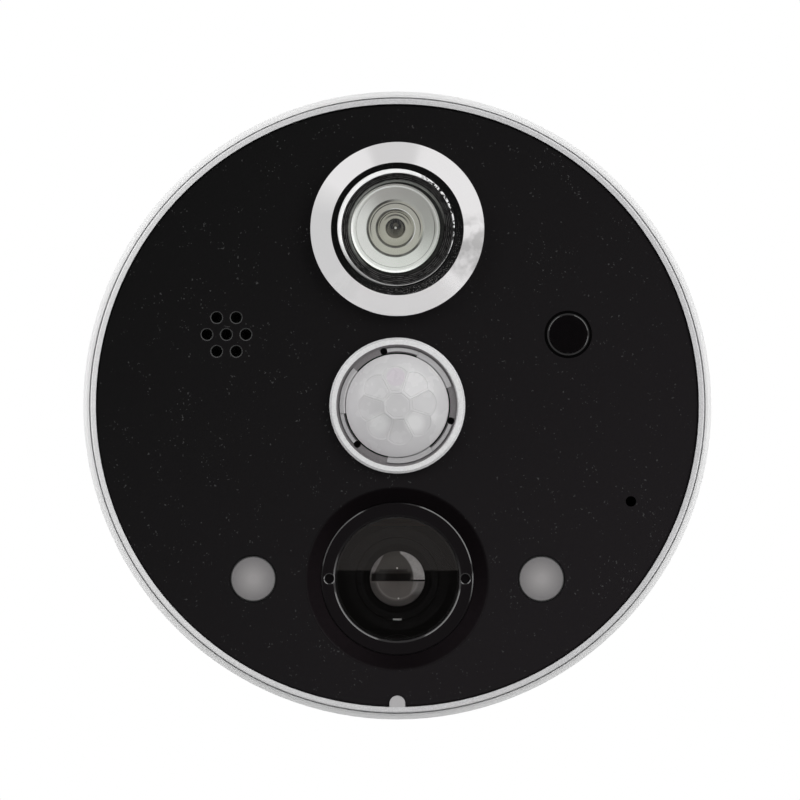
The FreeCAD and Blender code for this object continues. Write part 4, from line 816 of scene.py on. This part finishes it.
def detector_dome():
    """The motion detector's dome: a sphere's cap on a skirt, with a middle facet and eight petals."""
    radius, top, base = 6.908, 17.9, 15.3
    middle_facet, petal, petals, first_bearing, lean = 1.45, 1.59, 8, 5, 24.1
    crumb = 0.001 * MM
    centre = Vector((0, radius - top, 0)) * MM
    deselect()
    bpy.ops.mesh.primitive_uv_sphere_add(
        segments=96, ring_count=72, radius=radius * MM, location=centre, rotation=(math.pi / 2, 0, 0),
    )
    dome = bpy.context.object
    settle()
    bpy.ops.object.mode_set(mode="EDIT")
    bpy.ops.mesh.select_mode(type="EDGE")
    bpy.ops.mesh.select_all(action="SELECT")
    bpy.ops.mesh.bisect(
        plane_co=(0, -base * MM, 0), plane_no=(0, 1, 0), clear_outer=True, threshold=crumb,
    )
    bpy.ops.mesh.select_all(action="DESELECT")
    bpy.ops.mesh.select_non_manifold()
    # The skirt goes back from the cap's edge, turns inwards and comes forward again
    for inward, back in ((1.0, 1.1), (0.89, 0.0), (1.0, -1.0)):
        bpy.ops.mesh.extrude_edges_move(TRANSFORM_OT_translate={"value": (0, back * MM, 0)})
        bpy.ops.transform.resize(value=(inward, 1, inward), center_override=(0, 0, 0))
    bpy.ops.mesh.edge_face_add()

    facets = [(Vector((0, -1, 0)), math.sqrt(radius ** 2 - middle_facet ** 2))]
    forward = math.cos(math.radians(lean))
    outward = math.sin(math.radians(lean))
    for index in range(petals):
        bearing = math.radians(first_bearing + 360 / petals * index)
        facing = Vector((outward * math.cos(bearing), -forward, outward * math.sin(bearing)))
        facets.append((facing, math.sqrt(radius ** 2 - petal ** 2)))
    for facing, reach in facets:
        bpy.ops.mesh.select_all(action="SELECT")
        bpy.ops.mesh.bisect(
            plane_co=centre + facing * (reach * MM), plane_no=facing, use_fill=True, clear_outer=True,
            threshold=crumb,
        )

    bpy.ops.mesh.select_mode(type="FACE")
    for facing, reach in facets:
        bpy.ops.mesh.select_all(action="DESELECT")
        bpy.ops.object.mode_set(mode="OBJECT")
        for face in dome.data.polygons:
            above = (face.center - centre).dot(facing) - reach * MM
            flat = abs(above) < 10 * crumb and face.normal.dot(facing) > 0.999
            face.select = flat and face.area > MM ** 2
        middle = [face.center.copy() for face in dome.data.polygons if face.select][0]
        bpy.ops.object.mode_set(mode="EDIT")
        # A flat border, then a groove that sinks and rises again
        for share, sink in ((0.93, 0.0), (0.955, 0.030), (0.955, -0.030)):
            bpy.ops.mesh.extrude_region_move(TRANSFORM_OT_translate={"value": facing * (-sink * MM)})
            bpy.ops.transform.resize(value=(share, share, share), center_override=middle)
    bpy.ops.object.mode_set(mode="OBJECT")
    finished(dome, "detector_dome_faceted", "milky_plastic", "housing", "detector_lens", angle=6)


def detector_locks():
    """The three tabs that lock the dome, each with a root at the dome's edge and a narrower arm."""
    for number in (1, 2, 3):
        first = 120 * number - 100.5
        for name, start, sweep, inner, outer, depth in (
            ("root", first + 0.2, 48.6, 5.30, 5.70, 14.82), ("tab", first, 49, 5.50, 6.05, 15.1),
            ("arm", first + 48.5, 32.5, 5.68, 6.05, 15.1),
        ):
            deselect()
            bpy.ops.mesh.primitive_plane_add(size=1, location=((inner + outer) / 2 * MM, -depth * MM, 0))
            tab = bpy.context.object
            tab.dimensions = ((outer - inner) * MM, 0.4 * MM, 0)
            settle()
            edit(lambda: bpy.ops.mesh.spin(
                steps=20, angle=math.radians(sweep), center=(0, 0, 0), axis=(0, 1, 0),
            ))
            tab.rotation_euler = (0, -math.radians(start), 0)
            finished(
                tab, f"detector_lock_{name}_{number}", "milky_plastic", "housing", "detector_lens", angle=25,
            )


def camera():
    """The camera's ring with its two spanner holes, its front lens, and the finishes of what is between."""
    across, up = CAMERA
    front, window_back, back = 13.9, 13.3, 11.8
    outer, sleeve, lip = 7.97, 7.42, 6.50
    ring = turned(CAMERA, [
        (sleeve, back), (outer, back), (outer, front - 0.06), (outer - 0.12, front), (lip + 0.22, front),
        (lip + 0.03, front - 0.115), (lip, front - 0.15), (lip, window_back), (sleeve, window_back),
    ], sides=160)
    hole, bevel = 0.5, 0.62
    for side in (-1, 1):
        drill = turned(
            (across + side * SPANNER_HOLE_REACH, up),
            [(hole, 13.4), (hole, front - 0.06), (bevel, front + 0.01), (bevel, front + 0.1)],
            sides=40, ring=False,
        )
        cut_out(ring, drill, "spanner hole")
    finished(ring, "camera_ring_turned", "camera_black", "housing", "camera_ring", angle=20)
    ring.data.materials[0] = camera_ring_black()
    frame["nodes"]["camera_window"].data.materials[0] = window_glass()
    frame["nodes"]["camera_lens_barrel"].data.materials[0] = lens_barrel_black()

    edge = (2.87, 11.0)
    lens = turned(LENS, [(2.87, 10.1), edge, *arc(edge, (POLE, 11.95), 4.81, 18)], sides=96, ring=False)
    finished(lens, "camera_front_lens_domed", "clear_glass", "housing", "camera_front_lens")
    lens.data.materials[0] = lens_with_painted_reflections()


def call_button():
    """The button's cap with the cove round its edge, and the metal dome that it flattens."""
    front, cove, cap_radius, stem, collar = 15.1, 0.25, 2.2, 1.2, 3.0
    shoulder = (cap_radius, front - cove)
    cap = turned(BUTTON, [
        (stem, 9.6), (stem, 11.45), (collar, 11.45), (collar, 13.75), (cap_radius, 13.75), shoulder,
        *arc(shoulder, (cap_radius - cove, front), cove, 6), (stem, front),
    ], sides=96, ring=False)
    finished(cap, "button_cap_rounded", "button_black", "button", "button_cap")

    low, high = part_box("switch_dome")
    seat = -high[1] / MM
    top = -low[1] / MM
    crown, edge, wall = 0.80, 1.60, 0.12
    snap = turned(BUTTON, [
        (POLE, top - wall), (crown, top - wall), (edge - wall, seat), (edge, seat), (crown, top), (POLE, top),
    ], sides=64, ring=False)
    finished(snap, "switch_snap_dome", "magnet_steel", "housing", "switch_dome")
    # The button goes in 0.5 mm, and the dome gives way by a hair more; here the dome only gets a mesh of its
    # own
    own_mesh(snap)


def housing_screws():
    """The three screws in the back, with their domed heads and cross recesses."""
    circle = 27.0
    length, deep, width = 2.0, 1.4, 0.42
    for number, bearing in enumerate((45, 135, 270), start=1):
        across = circle * math.cos(bearing * DEGREE)
        up = circle * math.sin(bearing * DEGREE)
        screw = turned((across, up), [
            (0.2, 0.4), (1.3, 0.42), (1.75, 0.55), (1.9, 0.8), (1.9, 1.6), (1.0, 1.6), (1.0, 9.2), (0.7, 9.6),
        ], sides=48, ring=False)
        for turn in (0, 90):
            deselect()
            bpy.ops.mesh.primitive_cube_add(size=1, location=(across * MM, -0.6 * MM, up * MM))
            bar = bpy.context.object
            bar.scale = (length * MM, deep * MM, width * MM)
            bar.rotation_euler = (0, math.radians(turn + 20 * number), 0)
            cut_out(screw, bar, "cross recess")
        finished(screw, f"housing_screw_{number}", "screw_steel", "housing", "housing_screws")


def pale_floor():
    """Matt pale grey, which fades out before the floor's edge."""
    finish = Finish("pale floor")
    colour = finish.mix(finish.grain(9.0), grey(0.62), grey(0.64))
    away = (finish.part("X") ** 2 + finish.part("Y") ** 2) ** 0.5
    return finish.surface(colour, 0.8, Alpha=away.under(360.0, 100.0))


def studio():
    """The camera that looks straight at the face, a pale floor and a soft lamp low at the right."""
    lens = bpy.data.cameras.new("camera")
    eye = bpy.data.objects.new("camera", lens)
    eye.location = (PICTURE_CENTRE[0] * MM, -FACE_DEPTH * MM - AWAY, PICTURE_CENTRE[1] * MM)
    eye.rotation_euler = (math.pi / 2, 0, 0)
    lens.lens = lens.sensor_width * AWAY / (PICTURE_WIDTH * MM)
    lens.clip_start = 0.01
    bpy.context.scene.collection.objects.link(eye)
    bpy.context.scene.camera = eye
    bpy.context.scene.view_settings.view_transform = "Standard"

    floor_width, floor_level = 0.84, -0.10
    deselect()
    bpy.ops.mesh.primitive_plane_add(size=floor_width, location=(0, 0, floor_level))
    floor = bpy.context.object
    floor.name = "floor"
    floor.data.materials.append(pale_floor())

    lamp_width, lamp_power, lamp_place = 0.11, 0.14, (0.20, -0.12, -0.06)
    lamp = bpy.data.lights.new("low fill", "AREA")
    lamp.size = lamp_width
    lamp.energy = lamp_power
    light = bpy.data.objects.new("low fill", lamp)
    light.location = lamp_place
    light.visible_camera = False
    light.rotation_euler = (-light.location).to_track_quat("-Z", "Y").to_euler()
    bpy.context.scene.collection.objects.link(light)
    # The lamp stands near the floor, and would draw a hard edge on it
    left_out = bpy.data.collections.new("not lit by the low fill")
    left_out.objects.link(floor)
    left_out.collection_objects[0].light_linking.link_state = "EXCLUDE"
    light.light_linking.receiver_collection = left_out


def studio_walls():
    """Soft light from all round: four softboxes, pale walls, a ceiling and a dim room before the face."""
    world = bpy.data.worlds.new("studio")
    room = Nodes(world, "Generated")
    across = room.axis("X")
    up = room.axis("Z")
    out = room.axis("Y") * -1
    tilt = out.sum("ARCCOSINE", out) / DEGREE
    around = (across ** 2 + up ** 2 + 0.0001) ** 0.5

    def toward(bearing, spread, soft=0.02):
        """A mask round the face's own axis, of a spread in degrees each way from a bearing."""
        cosine = (across * math.cos(bearing * DEGREE) + up * math.sin(bearing * DEGREE)) / around
        return cosine.over(math.cos(spread * DEGREE), soft)

    # A pale ring in front, which the viewer's flange mirrors, brighter above and at the right
    ring = tilt.between(17, 48, 3)
    level = ring * 0.30 + 0.50
    level = level.laid(ring * toward(TOP + 2.5, 17.5), 0.64)
    level = level.laid(ring * toward(RIGHT - 20, 15, 0.05), 0.66)
    # The softboxes and the wall at the left
    level = level.laid(tilt.between(46, 76, 3) * toward(RIGHT + 42, 30), 4.2)
    level = level.laid(out.between(-0.3, 0.35, 0.1) * toward(LEFT + 5, 45, 0.1), 0.95)
    for bearing in (RIGHT - 40, RIGHT - 130):
        level = level.laid(tilt.between(42, 54, 4) * toward(bearing, 11), 3.0)
    level = level.laid(tilt.between(51, 76, 3) * toward(TOP + 53, 27), 4.0)
    # The ceiling, dimmer than the walls
    level = level.laid(out.between(-0.27, 0.27, 0.06) * up.over(0.12, 0.08), 0.45)
    # The dim room before the face, with a paler shelf whose lower edge the camera's window mirrors
    height = up / out * (AWAY / MM)
    shelf = height.over(-17.85, 0.15) * height.under(-9.75, 3.0)
    level = level.laid(tilt.under(15, 0.6), shelf * 0.19 + 0.03)

    soft = room.node("ShaderNodeBackground", {}, grey(1), level)
    white = room.node("ShaderNodeBackground", {}, grey(1), 1.0)
    seen = room.node("ShaderNodeLightPath", {}, output="Is Camera Ray")
    room.node("ShaderNodeOutputWorld", {}, room.node("ShaderNodeMixShader", {}, seen, soft, white))
    bpy.context.scene.world = world


studio()
studio_walls()
viewer_barrel()
viewer_ring()
viewer_glass()
detector_dome()
detector_locks()
camera()
call_button()
housing_screws()
